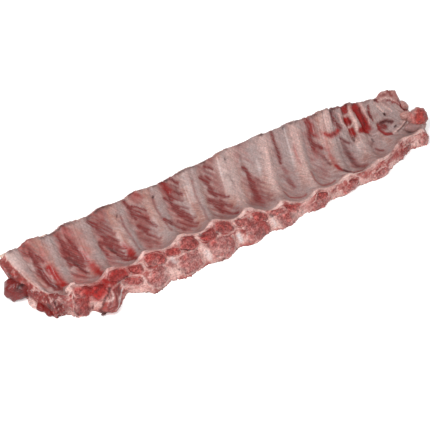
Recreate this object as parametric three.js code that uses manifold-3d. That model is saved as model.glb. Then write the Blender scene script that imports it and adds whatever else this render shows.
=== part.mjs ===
// A raw rack of pork loin ribs, lying with its hollow bone side up.
// Millimetres, +Z up. +X runs along the rack, from the cut first rib to the tapered last one.
// -Y is the sawn chine edge, +Y the sawn rib tips. The rack lies on z = 0.
//
// Rack coordinates: u counts ribs along the rack, so u = 4 is the middle line of the fourth rib,
// and t goes across the hollow side, from 0 at the chine rim to 1 at the rib tips.
import * as THREE from "three";
import { mergeVertices } from "three/addons/utils/BufferGeometryUtils.js";
import Module from "manifold-3d";

// ---- Driving dimensions, mm unless said otherwise ----
const RIB_COUNT = 13;
const PITCH = 36.4; // from one rib to the next along the chine
const MIDDLE_RIB_X = 18.3; // foot of rib 7
const CENTRE_SHIFT = { x: -18.0, y: 1.8 }; // puts the middle of the outline over the origin

const RIM_HEIGHT = 29; // top of the chine rim, first ribs
const RIM_DROP = 14; // how much lower the rim is at the last ribs
const RIM_WIDTH = 3.6;
const RIM_Y = -25;
const TIP_Y = 35;
const TIP_HEIGHT = 38;
const TIP_THICKNESS = 12;
const VALLEY_SHARE = 0.31; // where the hollow is deepest, as a share of t
const VALLEY_HEIGHT = 14;
const VALLEY_DROP = 5.5; // how much lower the hollow is at the last ribs
const FACE_LEAN = 22; // how far the sawn chine face's foot stands out before its rim
const FACE_LEAN_LOSS = 16.5; // how much of that is gone at the last ribs

const RIDGE_RISE = 2.6; // meat over a rib's sides, above the meat between two ribs
const POCKET_DEPTH = 4.2; // hollow between two ribs, just behind the rim
const RIM_SCALLOP = 4.5; // sag of the rim between two ribs
const SAG_SKEW = 1.8; // over 1, the rim sags most near the next rib
const FOOT_SCALLOP = 5.5; // how far the face's foot draws back between two vertebrae
const SLOT_DEPTH = 5; // knife cuts along both sides of the eleventh rib
const LUMP = { x: -195.5, y: 20, z: 9.5, rx: 11.5, ry: 12.5, rz: 13, sides: 12 }; // loose meat
const FLAP = { u: 2.88, reach: 13, span: 0.2 }; // loose meat hanging from the chine face
const NOTCH = { u: 3.6, depth: 5, span: 0.3 }; // the chine face's foot is cut back here
const LOBE = { u: 12.8, rise: 14, span: 0.24 }; // fat that stands up at the rib tips
const TIP_BULGE = { share: 0.66, rise: 3.4, span: 0.24 }; // meat between the tips of ribs 1 to 5

const RIB = { width: 13, thickness: 8.2, sink: 1.7, sides: 8, steps: 10, proud: 0.8 };
const VERTEBRA = { width: 25, depth: 7, proud: 1.0, sides: 10, top: 0.42, foot: 0.93 };
// The oblique end cut has taken the first vertebra away, and the flap covers the third.
const vertebraShows = (k) => k > 1 && k !== 3;
const KNOB = { x: 230, y: -6, z: 19, radius: 10.5, sides: 12 }; // bone end at the last rib
const CLEARANCE = 0.3; // between bone and meat

const FIRST_STATION = 0.75; // the cut end, a little before the first rib
const LAST_STATION = 13.35;
const STATIONS_PER_RIB = 4;

// ---- Small helpers ----
const lerp = (a, b, w) => a + (b - a) * w;
const clamp01 = (x) => Math.min(1, Math.max(0, x));

function smooth(from, to, x) {
  const w = clamp01((x - from) / (to - from));
  return w * w * (3 - 2 * w);
}

const bump = (x, centre, width) => Math.exp(-(((x - centre) / width) ** 2));

// 1 on a rib's middle line, 0 halfway between two ribs.
const ribness = (u) => 0.5 + 0.5 * Math.cos(2 * Math.PI * u);

// 0 at the ribs, and 1 where the rim sags most between them.
const rimSag = (u) => Math.sin(Math.PI * (u - Math.floor(u)) ** SAG_SKEW);

// A slow, repeatable unevenness of about -1 to 1.
const wobble = (u, seed) =>
  0.5 * Math.sin(1.7 * u + seed) + 0.3 * Math.sin(4.3 * u + 2.1 * seed) +
  0.2 * Math.sin(9.1 * u + 3.7 * seed);

// ---- The rack's main lines ----
const ruledX = (u) => MIDDLE_RIB_X + PITCH * (u - 7);

// The end cuts are oblique: the feet of the first two ribs stand close, and the last ones too.
const rimX = (u) => ruledX(u) + 22 * Math.max(0, 2 - u) - 7 * smooth(12, 13.3, u);
const tipX = (u) =>
  ruledX(u) + 4 + 3 * bump(u, 0.8, 0.7) + 15.5 * smooth(4.5, 8, u) - 38 * smooth(10, 13.4, u);

const rimY = (u) =>
  RIM_Y + 4 * (1 - smooth(0.7, 2.2, u)) - 10 * smooth(6.8, 8.8, u) + 13 * smooth(11, 12.4, u) -
  0.4 * RIM_SCALLOP * rimSag(u);
const tipBulge = (u) =>
  bump(u - Math.floor(u), TIP_BULGE.share, TIP_BULGE.span) * smooth(1, 1.6, u) * (1 - smooth(4.8, 5.3, u));
const tipY = (u) =>
  TIP_Y + 5 * bump(u, 7.3, 1.8) - 26 * smooth(9.3, 14, u) + 4.5 * bump(u, 12.3, 0.5) +
  0.4 * TIP_BULGE.rise * tipBulge(u);
const rimZ = (u) => RIM_HEIGHT - 3 * (1 - smooth(0.7, 2, u)) - RIM_DROP * smooth(5.5, 8.8, u);
const tipZ = (u) =>
  TIP_HEIGHT + TIP_BULGE.rise * tipBulge(u) + 3 * bump(u, 11, 0.5) +
  LOBE.rise * bump(u, LOBE.u, LOBE.span) - 6 * smooth(12, 13.3, u) - 4 * smooth(12.9, LAST_STATION, u);
const valleyZ = (u) => VALLEY_HEIGHT - VALLEY_DROP * smooth(6, 11, u);
const faceLean = (u) => FACE_LEAN * smooth(0.2, 3.6, u) - FACE_LEAN_LOSS * smooth(6.3, 9.5, u);

// Both ends are thinner than the middle.
const plumpness = (u) => 1 - 0.25 * (1 - smooth(0.7, 2, u)) - 0.3 * smooth(12.6, 13.3, u);

// A point of the hollow side at (u, t), raised by lift.
function hollowPoint(u, t, lift = 0) {
  const low = valleyZ(u);
  const near = clamp01(1 - t / VALLEY_SHARE);
  const far = clamp01((t - VALLEY_SHARE) / (1 - VALLEY_SHARE));
  const endWall = 7 * smooth(12.8, LAST_STATION, u) * bump(t, 0.3, 0.3);
  const z = low + (rimZ(u) - low) * near ** 1.9 + (tipZ(u) - low) * far ** 1.7 + endWall;
  const y = lerp(rimY(u) + RIM_WIDTH, tipY(u), t);
  return new THREE.Vector3(lerp(rimX(u), tipX(u), t), y, z + lift);
}

// The meat's relief on the hollow side: mounds along the ribs and a pocket behind the rim.
function hollowRelief(u, t) {
  const between = 1 - ribness(u);
  const pocket = POCKET_DEPTH * between * bump(t, 0.12, 0.16);
  const mound = RIDGE_RISE * (0.45 + 0.2 * bump(t, 0, 0.35)) * ribness(u);
  const sag = 0.8 * RIM_SCALLOP * rimSag(u) * bump(t, 0, 0.08);
  const slots = bump(u, 10.75, 0.13) + bump(u, 11.25, 0.13);
  const cut = SLOT_DEPTH * slots * smooth(0.5, 0.62, t) * (1 - 0.7 * smooth(0.9, 1, t));
  return mound - pocket - sag - cut + 0.5 * wobble(u + 3 * t, 1);
}

// The slanting sawn face below the rim: v is 0 at the rim and 1 at the table.
function facePoint(u, v, out = 0) {
  const lean = faceLean(u);
  const top = rimZ(u) - RIM_SCALLOP * rimSag(u) * (1 - v);
  const scallop = FOOT_SCALLOP * (1 - ribness(u)) * smooth(1, 3, u) * (1 - 0.6 * smooth(8, 10, u));
  const notch = NOTCH.depth * bump(u, NOTCH.u, NOTCH.span);
  const foot = rimY(u) - lean + scallop + notch + 1.3 * wobble(2 * u, 4);
  const y = lerp(rimY(u), foot, v);
  const slope = Math.hypot(lean, top);
  return new THREE.Vector3(
    rimX(u),
    y - (out * top) / slope,
    Math.max(0, top * (1 - v) + (out * lean) / slope),
  );
}

// ---- The meat: one closed skin lofted through sections along u ----
const FACE_STEPS = 4;
const HOLLOW_STEPS = 9;
const UNDER_STEPS = 6;

function section(u) {
  const points = [];
  for (let i = 0; i <= FACE_STEPS; i++) {
    const v = 1 - i / FACE_STEPS;
    // The spongy bone and fat bulge a little between the foot and the rim.
    const bulge = 1.4 * Math.sin(Math.PI * v) * (0.6 + 0.4 * ribness(u)) + flap(u, v);
    points.push(facePoint(u, v, bulge));
  }
  for (let i = 0; i <= HOLLOW_STEPS; i++) {
    const t = (i / HOLLOW_STEPS) ** 1.25;
    points.push(hollowPoint(u, t, hollowRelief(u, t)));
  }
  const tip = points[points.length - 1];
  const thickness = TIP_THICKNESS * plumpness(u);
  const heel = new THREE.Vector3(tip.x, tip.y + 0.62 * thickness, tip.z - 0.78 * thickness);
  points.push(tip.clone().lerp(heel, 0.5).add(new THREE.Vector3(0, 0.8, 0.6)));
  const foot = points[0];
  for (let i = 0; i < UNDER_STEPS; i++) {
    const s = 1 - i / UNDER_STEPS; // 1 at the tips, 0 at the chine's foot
    const rise = clamp01((s - 0.5) / 0.5) ** 1.55;
    points.push(
      new THREE.Vector3(lerp(foot.x, heel.x, s), lerp(foot.y, heel.y, s), heel.z * rise),
    );
  }
  return points;
}

// A strip of loose meat that hangs from the chine face onto the table.
function flap(u, v) {
  return FLAP.reach * bump(u, FLAP.u, FLAP.span) * smooth(0.3, 1, v);
}

function loft(sections) {
  const ring = sections[0].length;
  const positions = [];
  for (const points of sections) for (const p of points) positions.push(p.x, p.y, p.z);
  const faces = [];
  for (let i = 0; i + 1 < sections.length; i++)
    for (let j = 0; j < ring; j++) {
      const a = i * ring + j;
      const b = i * ring + ((j + 1) % ring);
      faces.push(a, b, a + ring, b, b + ring, a + ring);
    }
  capEnd(faces, sections[0], 0, false);
  capEnd(faces, sections[sections.length - 1], (sections.length - 1) * ring, true);
  return closedGeometry(positions, faces);
}

// Triangles across an end section, seen along its own plane.
function capEnd(faces, points, first, flip) {
  const a = points[1].clone().sub(points[0]);
  const middle = points.reduce((sum, p) => sum.add(p), new THREE.Vector3());
  middle.divideScalar(points.length);
  const normal = new THREE.Vector3();
  points.forEach((p, i) => {
    const q = points[(i + 1) % points.length];
    normal.add(p.clone().sub(middle).cross(q.clone().sub(middle)));
  });
  normal.normalize();
  const across = a.addScaledVector(normal, -a.dot(normal)).normalize();
  const up = normal.clone().cross(across);
  const flat = points.map((p) => new THREE.Vector2(p.dot(across), p.dot(up)));
  for (const [i, j, k] of THREE.ShapeUtils.triangulateShape(flat, [])) {
    if (flip) faces.push(first + i, first + j, first + k);
    else faces.push(first + i, first + k, first + j);
  }
}

function closedGeometry(positions, faces) {
  const geometry = new THREE.BufferGeometry();
  geometry.setAttribute("position", new THREE.Float32BufferAttribute(positions, 3));
  geometry.setIndex(faces);
  return geometry;
}

// ---- Bones ----

// The middle line of a rib: out of the chine face, through the hollow and up to its sawn tip.
function ribPath(k) {
  const u = Math.max(k, 1.02);
  const head = facePoint(u, 0.27, 0);
  const inside = head.clone().add(new THREE.Vector3(0, 7.5, -1.2 - 0.13 * rimZ(u)));
  const path = [head.clone().add(new THREE.Vector3(0, -RIB.proud, 0.3)), inside];
  for (const t of [0.2, 0.34, 0.5, 0.66, 0.82, 1]) path.push(hollowPoint(u, t, -RIB.sink));
  const beyond = path[path.length - 1].clone().sub(path[path.length - 2]).normalize();
  path[path.length - 1].addScaledVector(beyond, RIB.proud);
  return new THREE.CatmullRomCurve3(path, false, "centripetal");
}

// A rib with an oval section, widest across the rack's length and thinner at its head.
function ribGeometry(k, grow = 0) {
  const curve = ribPath(k);
  const taper = 1 - 0.16 * smooth(8, 12, k);
  const along = new THREE.Vector3(1, 0, 0);
  const sections = [];
  for (let i = 0; i <= RIB.steps; i++) {
    const s = i / RIB.steps;
    const centre = curve.getPointAt(s);
    const tangent = curve.getTangentAt(s);
    if (i === 0) centre.addScaledVector(tangent, -4 * grow);
    if (i === RIB.steps) centre.addScaledVector(tangent, 4 * grow);
    const side = along.clone().addScaledVector(tangent, -along.dot(tangent)).normalize();
    const up = side.clone().cross(tangent).normalize();
    const head = 1 - 0.22 * (1 - smooth(0, 0.3, s));
    const halfWidth = (RIB.width / 2) * head * taper + grow;
    const halfThickness = (RIB.thickness / 2) * head * taper + grow;
    const points = [];
    for (let j = 0; j < RIB.sides; j++) {
      const angle = (2 * Math.PI * (j + 0.5)) / RIB.sides;
      const bow = Math.cos(angle);
      const rise = Math.sin(angle);
      points.push(
        centre.clone().addScaledVector(side, halfWidth * bow).addScaledVector(up, halfThickness * rise),
      );
    }
    sections.push(points);
  }
  return loft(sections);
}

// The sawn block of one vertebra, let into the chine face below its rib.
function vertebraGeometry(k, grow = 0) {
  const middle = (VERTEBRA.top + VERTEBRA.foot) / 2;
  const halfHeight = (VERTEBRA.foot - VERTEBRA.top) / 2;
  const halfWidth = VERTEBRA.width / 2 / PITCH;
  const isCutter = grow > 0;
  const layers = [VERTEBRA.proud + (isCutter ? 12 : 1.6), VERTEBRA.proud, -VERTEBRA.depth - grow];
  const shares = [isCutter ? 1 : 0.62, 1, 0.86];
  const sections = layers.map((out, layer) => {
    const points = [];
    for (let j = 0; j < VERTEBRA.sides; j++) {
      const angle = (2 * Math.PI * j) / VERTEBRA.sides;
      const squareness = 0.75;
      const across = Math.sign(Math.cos(angle)) * Math.abs(Math.cos(angle)) ** squareness;
      const down = Math.sign(Math.sin(angle)) * Math.abs(Math.sin(angle)) ** squareness;
      const share = shares[layer];
      const faceHeight = Math.hypot(faceLean(k), rimZ(k));
      const u = k + 0.04 * wobble(7 * k, 5) + across * share * (halfWidth + grow / PITCH);
      const v = middle + down * share * (halfHeight + grow / faceHeight);
      points.push(faceSurface(Math.max(u, FIRST_STATION), k, v, out));
    }
    return points;
  });
  return loft(sections);
}

// The chine face near rib k, followed along u but kept in one leaning plane; out runs along -Y.
function faceSurface(u, k, v, out) {
  const p = facePoint(k, v);
  return new THREE.Vector3(rimX(u), p.y + (rimY(u) - rimY(k)) - out, p.z);
}

function ellipsoid(at, rx, ry, rz, tilt) {
  const ball = new THREE.SphereGeometry(1, at.sides, at.sides / 2 + 1);
  ball.scale(rx, ry, rz).rotateY(tilt).translate(at.x, at.y, at.z);
  return ball.deleteAttribute("normal").deleteAttribute("uv");
}

// The round bone end that closes the hollow at the last rib.
function knobGeometry(grow = 0) {
  const radius = KNOB.radius + grow;
  return ellipsoid(KNOB, 0.95 * radius, radius, 0.9 * radius, 0.5);
}

// The lump of loose meat that the cut end rests on, flat where it meets the table.
function lumpGeometry() {
  const lump = ellipsoid(LUMP, LUMP.rx, LUMP.ry, LUMP.rz, 0.25);
  const place = lump.attributes.position;
  for (let i = 0; i < place.count; i++) place.setZ(i, Math.max(0, place.getZ(i)));
  return lump;
}

// ---- Booleans ----
const wasm = await Module();
wasm.setup();

function toSolid(geometry) {
  const merged = mergeVertices(geometry, 1e-4);
  const mesh = new wasm.Mesh({
    numProp: 3,
    vertProperties: Float32Array.from(merged.attributes.position.array),
    triVerts: Uint32Array.from(merged.index.array),
  });
  const solid = new wasm.Manifold(mesh);
  if (solid.volume() > 0) return solid;
  for (let i = 0; i < mesh.triVerts.length; i += 3)
    [mesh.triVerts[i + 1], mesh.triVerts[i + 2]] = [mesh.triVerts[i + 2], mesh.triVerts[i + 1]];
  return new wasm.Manifold(mesh);
}

// Only the largest body stays: a cut may leave a crumb.
function toGeometry(solid) {
  const whole = solid.decompose().sort((a, b) => b.volume() - a.volume())[0];
  const { vertProperties, triVerts, numProp } = whole.getMesh();
  const positions = [];
  for (let i = 0; i < vertProperties.length; i += numProp)
    positions.push(vertProperties[i], vertProperties[i + 1], vertProperties[i + 2]);
  const geometry = closedGeometry(positions, Array.from(triVerts));
  geometry.computeVertexNormals();
  return geometry;
}

// ---- Assembly ----
const materials = {
  meat: new THREE.MeshStandardMaterial({ color: 0xa5605c, roughness: 0.42, metalness: 0 }),
  rib: new THREE.MeshStandardMaterial({ color: 0xc4a49d, roughness: 0.38, metalness: 0 }),
  vertebra: new THREE.MeshStandardMaterial({ color: 0xb86a68, roughness: 0.55, metalness: 0 }),
};

const rack = new THREE.Group();
rack.name = "rack_of_ribs";
rack.position.set(CENTRE_SHIFT.x, CENTRE_SHIFT.y, 0);

function addPiece(name, geometry, material) {
  const mesh = new THREE.Mesh(geometry, material);
  mesh.name = name;
  rack.add(mesh);
}

const stations = [];
const stationCount = Math.round((LAST_STATION - FIRST_STATION) * STATIONS_PER_RIB);
for (let i = 0; i <= stationCount; i++)
  stations.push(lerp(FIRST_STATION, LAST_STATION, i / stationCount));

let meat = toSolid(loft(stations.map(section))).add(toSolid(lumpGeometry()));
const knobSocket = toSolid(knobGeometry(CLEARANCE));
for (let k = 1; k <= RIB_COUNT; k++) {
  const label = String(k).padStart(2, "0");
  let rib = toSolid(ribGeometry(k)).subtract(knobSocket);
  meat = meat.subtract(toSolid(ribGeometry(k, CLEARANCE)));
  if (vertebraShows(k)) {
    const socket = toSolid(vertebraGeometry(k, CLEARANCE));
    rib = rib.subtract(socket);
    meat = meat.subtract(socket);
    addPiece(`vertebra_${label}`, toGeometry(toSolid(vertebraGeometry(k))), materials.vertebra);
  }
  addPiece(`rib_${label}`, toGeometry(rib), materials.rib);
}
addPiece("end_knob", toGeometry(toSolid(knobGeometry())), materials.vertebra);
addPiece("meat", toGeometry(meat.subtract(knobSocket)), materials.meat);

export default rack;
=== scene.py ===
"""Looks of a raw rack of pork ribs that lies with its hollow bone side up.

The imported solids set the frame. Shapes are worked out in millimetres, in the rack's own
coordinates, and turned to metres when a mesh is made:

* u counts ribs along the rack, so u = 4 is the middle line of the fourth rib,
* t goes across the hollow side, 0 at the chine rim and 1 at the sawn rib tips,
* v goes down the sawn chine face, 0 at the rim and 1 at the table,
* s goes through the meat at the cut end, 0 at the hollow side and 1 underneath.
"""
import logging
import math
from collections.abc import Callable
from dataclasses import dataclass, field
from enum import Enum
from typing import ClassVar

import bpy
import numpy as np
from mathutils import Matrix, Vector

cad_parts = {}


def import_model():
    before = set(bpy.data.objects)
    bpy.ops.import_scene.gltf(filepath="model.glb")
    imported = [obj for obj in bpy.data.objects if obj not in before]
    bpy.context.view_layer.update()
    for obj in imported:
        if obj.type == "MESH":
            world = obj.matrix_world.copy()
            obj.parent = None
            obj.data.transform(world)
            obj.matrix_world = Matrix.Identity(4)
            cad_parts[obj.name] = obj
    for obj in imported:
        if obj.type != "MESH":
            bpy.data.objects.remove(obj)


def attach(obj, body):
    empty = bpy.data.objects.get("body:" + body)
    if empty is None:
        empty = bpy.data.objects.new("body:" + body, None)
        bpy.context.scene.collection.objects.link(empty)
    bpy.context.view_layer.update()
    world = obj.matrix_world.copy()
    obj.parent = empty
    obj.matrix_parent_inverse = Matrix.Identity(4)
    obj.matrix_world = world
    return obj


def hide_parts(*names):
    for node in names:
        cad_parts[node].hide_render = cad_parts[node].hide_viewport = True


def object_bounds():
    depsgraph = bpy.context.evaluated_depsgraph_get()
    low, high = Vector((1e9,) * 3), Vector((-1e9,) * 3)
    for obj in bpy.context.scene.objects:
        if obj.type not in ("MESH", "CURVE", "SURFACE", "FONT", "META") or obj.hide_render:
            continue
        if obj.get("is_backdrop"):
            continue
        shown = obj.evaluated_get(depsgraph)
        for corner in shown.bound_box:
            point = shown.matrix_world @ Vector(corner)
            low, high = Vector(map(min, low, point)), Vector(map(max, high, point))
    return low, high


LOG = logging.getLogger("rack_of_ribs")
Array = np.ndarray
Path = tuple[tuple[float, float], ...]
MM = 0.001  # metres in a millimetre
FINEST_HALF_STROKE = 0.9  # in millimetres: narrower ones would fall between the mesh's points


# ---------------------------------------------------------------- numbers


def ramp(low: float, high: float, x: Array | float) -> Array:
    """Smooth step.

    Args:
        low: where the step starts, at 0.
        high: where it ends, at 1; it may lie below low.
        x: the values to grade.
    Returns:
        The graded values, 0 to 1.
    """
    share = np.clip((np.asarray(x, float) - low) / (high - low), 0.0, 1.0)
    return share * share * (3.0 - 2.0 * share)


def bump(x: Array | float, centre: float, width: float) -> Array:
    """Bell curve.

    Args:
        x: the values to grade.
        centre: where the bell is 1.
        width: how far from there it has sunk to 1/e.
    Returns:
        The graded values, 0 to 1.
    """
    return np.exp(-(((np.asarray(x, float) - centre) / width) ** 2))


def plateau(x: Array, width: float) -> Array:
    """Flat-topped bell, 1 at 0 and 1/e at width."""
    return np.exp(-((np.abs(x) / width) ** 4))


def blend(a: Array | float, b: Array | float, share: Array | float) -> Array:
    """Straight mix of a and b, all b where share is 1."""
    return a + (b - a) * share


def unit(rows: Array) -> Array:
    """Rows scaled to length 1."""
    return rows / np.maximum(np.linalg.norm(rows, axis=-1, keepdims=True), 1e-9)


def stack(x: Array, y: Array, z: Array) -> Array:
    """Points from their three coordinates, in millimetres."""
    return np.stack(np.broadcast_arrays(x, y, z), -1)


@dataclass(frozen=True)
class Grain:
    """Smooth noise that is the same in each run."""

    seed: int

    def __call__(self, points: Array, size: float, octaves: int = 1) -> Array:
        """Noise at some points.

        Args:
            points: places in millimetres, three coordinates each.
            size: width of the broadest patches, in millimetres.
            octaves: how many finer layers are added up.
        Returns:
            One value a point, about -1 to 1.
        """
        total = np.zeros(points.shape[:-1])
        weight = 1.0
        for octave in range(octaves):
            total += weight * self._layer(points / size * 2.0**octave, octave)
            weight *= 0.5
        return total / (2.0 - 2.0 * weight)

    def _layer(self, places: Array, octave: int) -> Array:
        """One layer of noise with cells of size 1.

        Args:
            places: points, with the cells' width as the unit.
            octave: which layer it is.
        Returns:
            One value a point, -1 to 1.
        """
        table = np.random.default_rng(self.seed + octave).uniform(-1.0, 1.0, 4096)
        cell = np.floor(places).astype(np.int64)
        share = places - cell
        share = share * share * (3.0 - 2.0 * share)
        value = np.zeros(places.shape[:-1])
        for corner in range(8):
            step = np.array([corner & 1, corner >> 1 & 1, corner >> 2 & 1])
            at = cell + step
            key = at[..., 0] * 73856093 ^ at[..., 1] * 19349663 ^ at[..., 2] * 83492791
            weight = np.prod(np.where(step == 1, share, 1.0 - share), axis=-1)
            value += weight * table[key & 4095]
        return value


# ---------------------------------------------------------------- the rack's lines


@dataclass(frozen=True)
class RackLines:
    """The main lines of the rack, in millimetres, as the solids have them."""

    ribs: int = 13
    pitch: float = 36.4
    middle_rib_x: float = 18.3
    shift_x: float = -18.0
    shift_y: float = 1.8
    rim_height: float = 29.0
    rim_drop: float = 14.0
    last_drop: float = 9.0
    rim_width: float = 3.6
    rim_y: float = -25.0
    rim_sag: float = 4.5
    sag_skew: float = 1.8
    late_sag_loss: float = 0.65
    tip_y: float = 35.0
    tip_height: float = 38.0
    tip_thickness: float = 12.0
    tip_bulge: float = 3.4
    valley_share: float = 0.31
    valley_height: float = 14.0
    valley_drop: float = 5.5
    face_lean: float = 22.0
    face_lean_loss: float = 16.5
    pocket_depth: float = 4.2
    foot_scallop: float = 5.5
    slot_depth: float = 5.0
    end_bevel: float = 4.5
    collar_height: float = 5.5
    end_rounding: float = 6.5
    ridge_height: float = 2.9
    ridge_half_width: float = 7.8
    flap_hang: float = 10.0
    end_wall: float = 7.0
    lobe_u: float = 12.8
    lobe_rise: float = 12.5
    first_u: float = 0.75
    last_u: float = 13.35

    def ribness(self, u: Array) -> Array:
        """1 on a rib's middle line and 0 halfway between two ribs."""
        return 0.5 + 0.5 * np.cos(2.0 * np.pi * u)

    def sag(self, u: Array) -> Array:
        """0 at the ribs and 1 where the rim sags most between them."""
        dip = np.sin(np.pi * (u - np.floor(u)) ** self.sag_skew)
        return dip * (1.0 - self.late_sag_loss * ramp(8.0, 9.8, u))

    def wobble(self, u: Array, seed: float) -> Array:
        """Slow unevenness along u, about -1 to 1."""
        slow = 0.5 * np.sin(1.7 * u + seed) + 0.3 * np.sin(4.3 * u + 2.1 * seed)
        return slow + 0.2 * np.sin(9.1 * u + 3.7 * seed)

    def fray(self, u: Array, seed: float) -> Array:
        """Small raggedness along u, in millimetres."""
        quick = 0.5 * np.sin(29.0 * u + seed) + 0.5 * np.sin(47.0 * u + 2.3 * seed)
        return (quick + 0.6 * np.sin(83.0 * u + 1.7 * seed)) * (0.5 + 0.5 * self.wobble(u, seed + 1))

    def ruled_x(self, u: Array) -> Array:
        """X of an evenly spaced rib."""
        return self.middle_rib_x + self.pitch * (u - 7.0) + self.shift_x

    def rim_x(self, u: Array) -> Array:
        """X of the chine rim: the first feet stand close, and the last ones too."""
        late = 7.0 * ramp(12, 13.3, u) + 6.5 * ramp(13, self.last_u, u)
        return self.ruled_x(u) + 22.0 * np.maximum(0.0, 2.0 - u) - late

    def tip_x(self, u: Array) -> Array:
        """X of the sawn tips."""
        early = 4.0 + 3.0 * bump(u, 0.8, 0.7) + 15.5 * ramp(4.5, 8, u)
        return self.ruled_x(u) + early - 38.0 * ramp(10, 13.4, u)

    def rim_line_y(self, u: Array) -> Array:
        """Y of the chine rim.

        Args:
            u: place along the rack.
        Returns:
            Y in millimetres.
        """
        steps = 4.0 * (1.0 - ramp(0.7, 2.2, u)) - 10.0 * ramp(6.8, 8.8, u) + 13.0 * ramp(11, 12.4, u)
        steps = steps - 2.5 * ramp(12.9, self.last_u, u)
        return self.rim_y + steps - 0.4 * self.rim_sag * self.sag(u) + self.shift_y

    def bulge(self, u: Array) -> Array:
        """Where the meat swells between the tips of the first five ribs, 0 to 1."""
        swell = bump(u - np.floor(u), 0.66, 0.24)
        return swell * ramp(1, 1.6, u) * (1.0 - ramp(4.8, 5.3, u))

    def tip_line_y(self, u: Array) -> Array:
        """Y of the sawn tips."""
        bends = 5.0 * bump(u, 7.3, 1.8) - 26.0 * ramp(9.3, 14, u) + 4.5 * bump(u, 12.3, 0.5)
        return self.tip_y + bends + 0.4 * self.tip_bulge * self.bulge(u) + self.shift_y

    def rim_z(self, u: Array) -> Array:
        """Height of the chine rim over the table."""
        drop = self.rim_drop * ramp(5.5, 8.8, u) + self.last_drop * ramp(12.85, self.last_u, u)
        return self.rim_height - 3.0 * (1.0 - ramp(0.7, 2, u)) - drop

    def tip_z(self, u: Array) -> Array:
        """Height of the sawn tips over the table.

        Args:
            u: place along the rack.
        Returns:
            Z in millimetres.
        """
        rise = self.tip_bulge * self.bulge(u) + 3.0 * bump(u, 11, 0.5)
        rise = rise + self.fray(u, 3.0) * (0.7 + 0.9 * ramp(9, 10.5, u) - 1.3 * ramp(12.9, 13.1, u))
        rise = rise + self.lobe_rise * plateau(u - self.lobe_u, 0.33)
        return self.tip_height + rise - 6.0 * ramp(12, 13.3, u) - 4.0 * ramp(12.9, self.last_u, u)

    def valley_z(self, u: Array) -> Array:
        """Height of the deepest line of the hollow."""
        return self.valley_height - self.valley_drop * ramp(6, 11, u)

    def lean(self, u: Array) -> Array:
        """How far the chine face's foot stands out before its rim."""
        return self.face_lean * ramp(0.2, 3.6, u) - self.face_lean_loss * ramp(6.3, 9.5, u)

    def plumpness(self, u: Array) -> Array:
        """Thickness at the tips as a share of the middle's."""
        return 1.0 - 0.25 * (1.0 - ramp(0.7, 2, u)) - 0.3 * ramp(12.6, 13.3, u)

    def hollow(self, u: Array, t: Array, lift: Array | float = 0.0) -> Array:
        """Points of the hollow side, without its relief.

        Args:
            u: place along the rack.
            t: place across it.
            lift: height added, in millimetres.
        Returns:
            Points in millimetres.
        """
        low = self.valley_z(u)
        near = np.clip(1.0 - t / self.valley_share, 0.0, 1.0)
        far = np.clip((t - self.valley_share) / (1.0 - self.valley_share), 0.0, 1.0)
        end_wall = self.end_wall * ramp(12.8, self.last_u, u) * bump(t, 0.3, 0.3)
        z = low + (self.rim_z(u) - low) * near**1.9 + (self.tip_z(u) - low) * far**1.7
        y = blend(self.rim_line_y(u) + self.rim_width, self.tip_line_y(u), t)
        return stack(blend(self.rim_x(u), self.tip_x(u), t), y, z + end_wall + lift)

    def relief(self, u: Array, t: Array) -> Array:
        """Height of the hollow side's relief: ridges, pockets, cuts and the knob's collar.

        Args:
            u: place along the rack.
            t: place across it.
        Returns:
            Heights in millimetres.
        """
        offset = (u - np.round(np.clip(u, 1, self.ribs))) * self.pitch
        height = self.ridge_height - 1.5 * bump(t, 0, 0.12) - 1.5 * ramp(0.7, 1.0, t)
        ridge = height * plateau(offset - 0.8, self.ridge_half_width) * (1.0 - 0.6 * ramp(10.8, 11.8, u))
        share = u - np.floor(u)
        pocket = self.pocket_depth * bump(t, 0.13, 0.17) * np.sin(np.pi * share**1.3) ** 1.5
        pocket = pocket * (1.0 - 0.6 * ramp(11.0, 12.0, u))
        sag = 0.8 * self.rim_sag * self.sag(u) * bump(t, 0, 0.08)
        slots = bump(u, 10.7 + 0.35 * (1 - t), 0.1) + bump(u, 11.16 + 1.0 * (1 - t), 0.16)
        cut = self.slot_depth * slots * ramp(0.52, 0.6, t) * (1.0 - 0.7 * ramp(0.92, 1, t))
        bevel = self.end_bevel * ramp(1.03, self.first_u, u - 0.24 * (1 - t) ** 1.7)
        collar = self.collar_height * bump(u, 13.21, 0.3) * bump(t, 0.35, 0.17)
        return ridge - pocket - sag - cut - bevel + collar + 0.5 * self.wobble(u + 3.0 * t, 1)

    def hollow_skin(self, u: Array, t: Array) -> Array:
        """Points of the hollow side with its relief."""
        return self.hollow(u, t, self.relief(u, t))

    def flap(self, u: Array, v: Array) -> Array:
        """How far the loose strip of meat near the third rib hangs out."""
        return self.flap_hang * plateau(u - 3.08 + 0.42 * v, 0.19) * ramp(0.25, 0.9, v)

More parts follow.
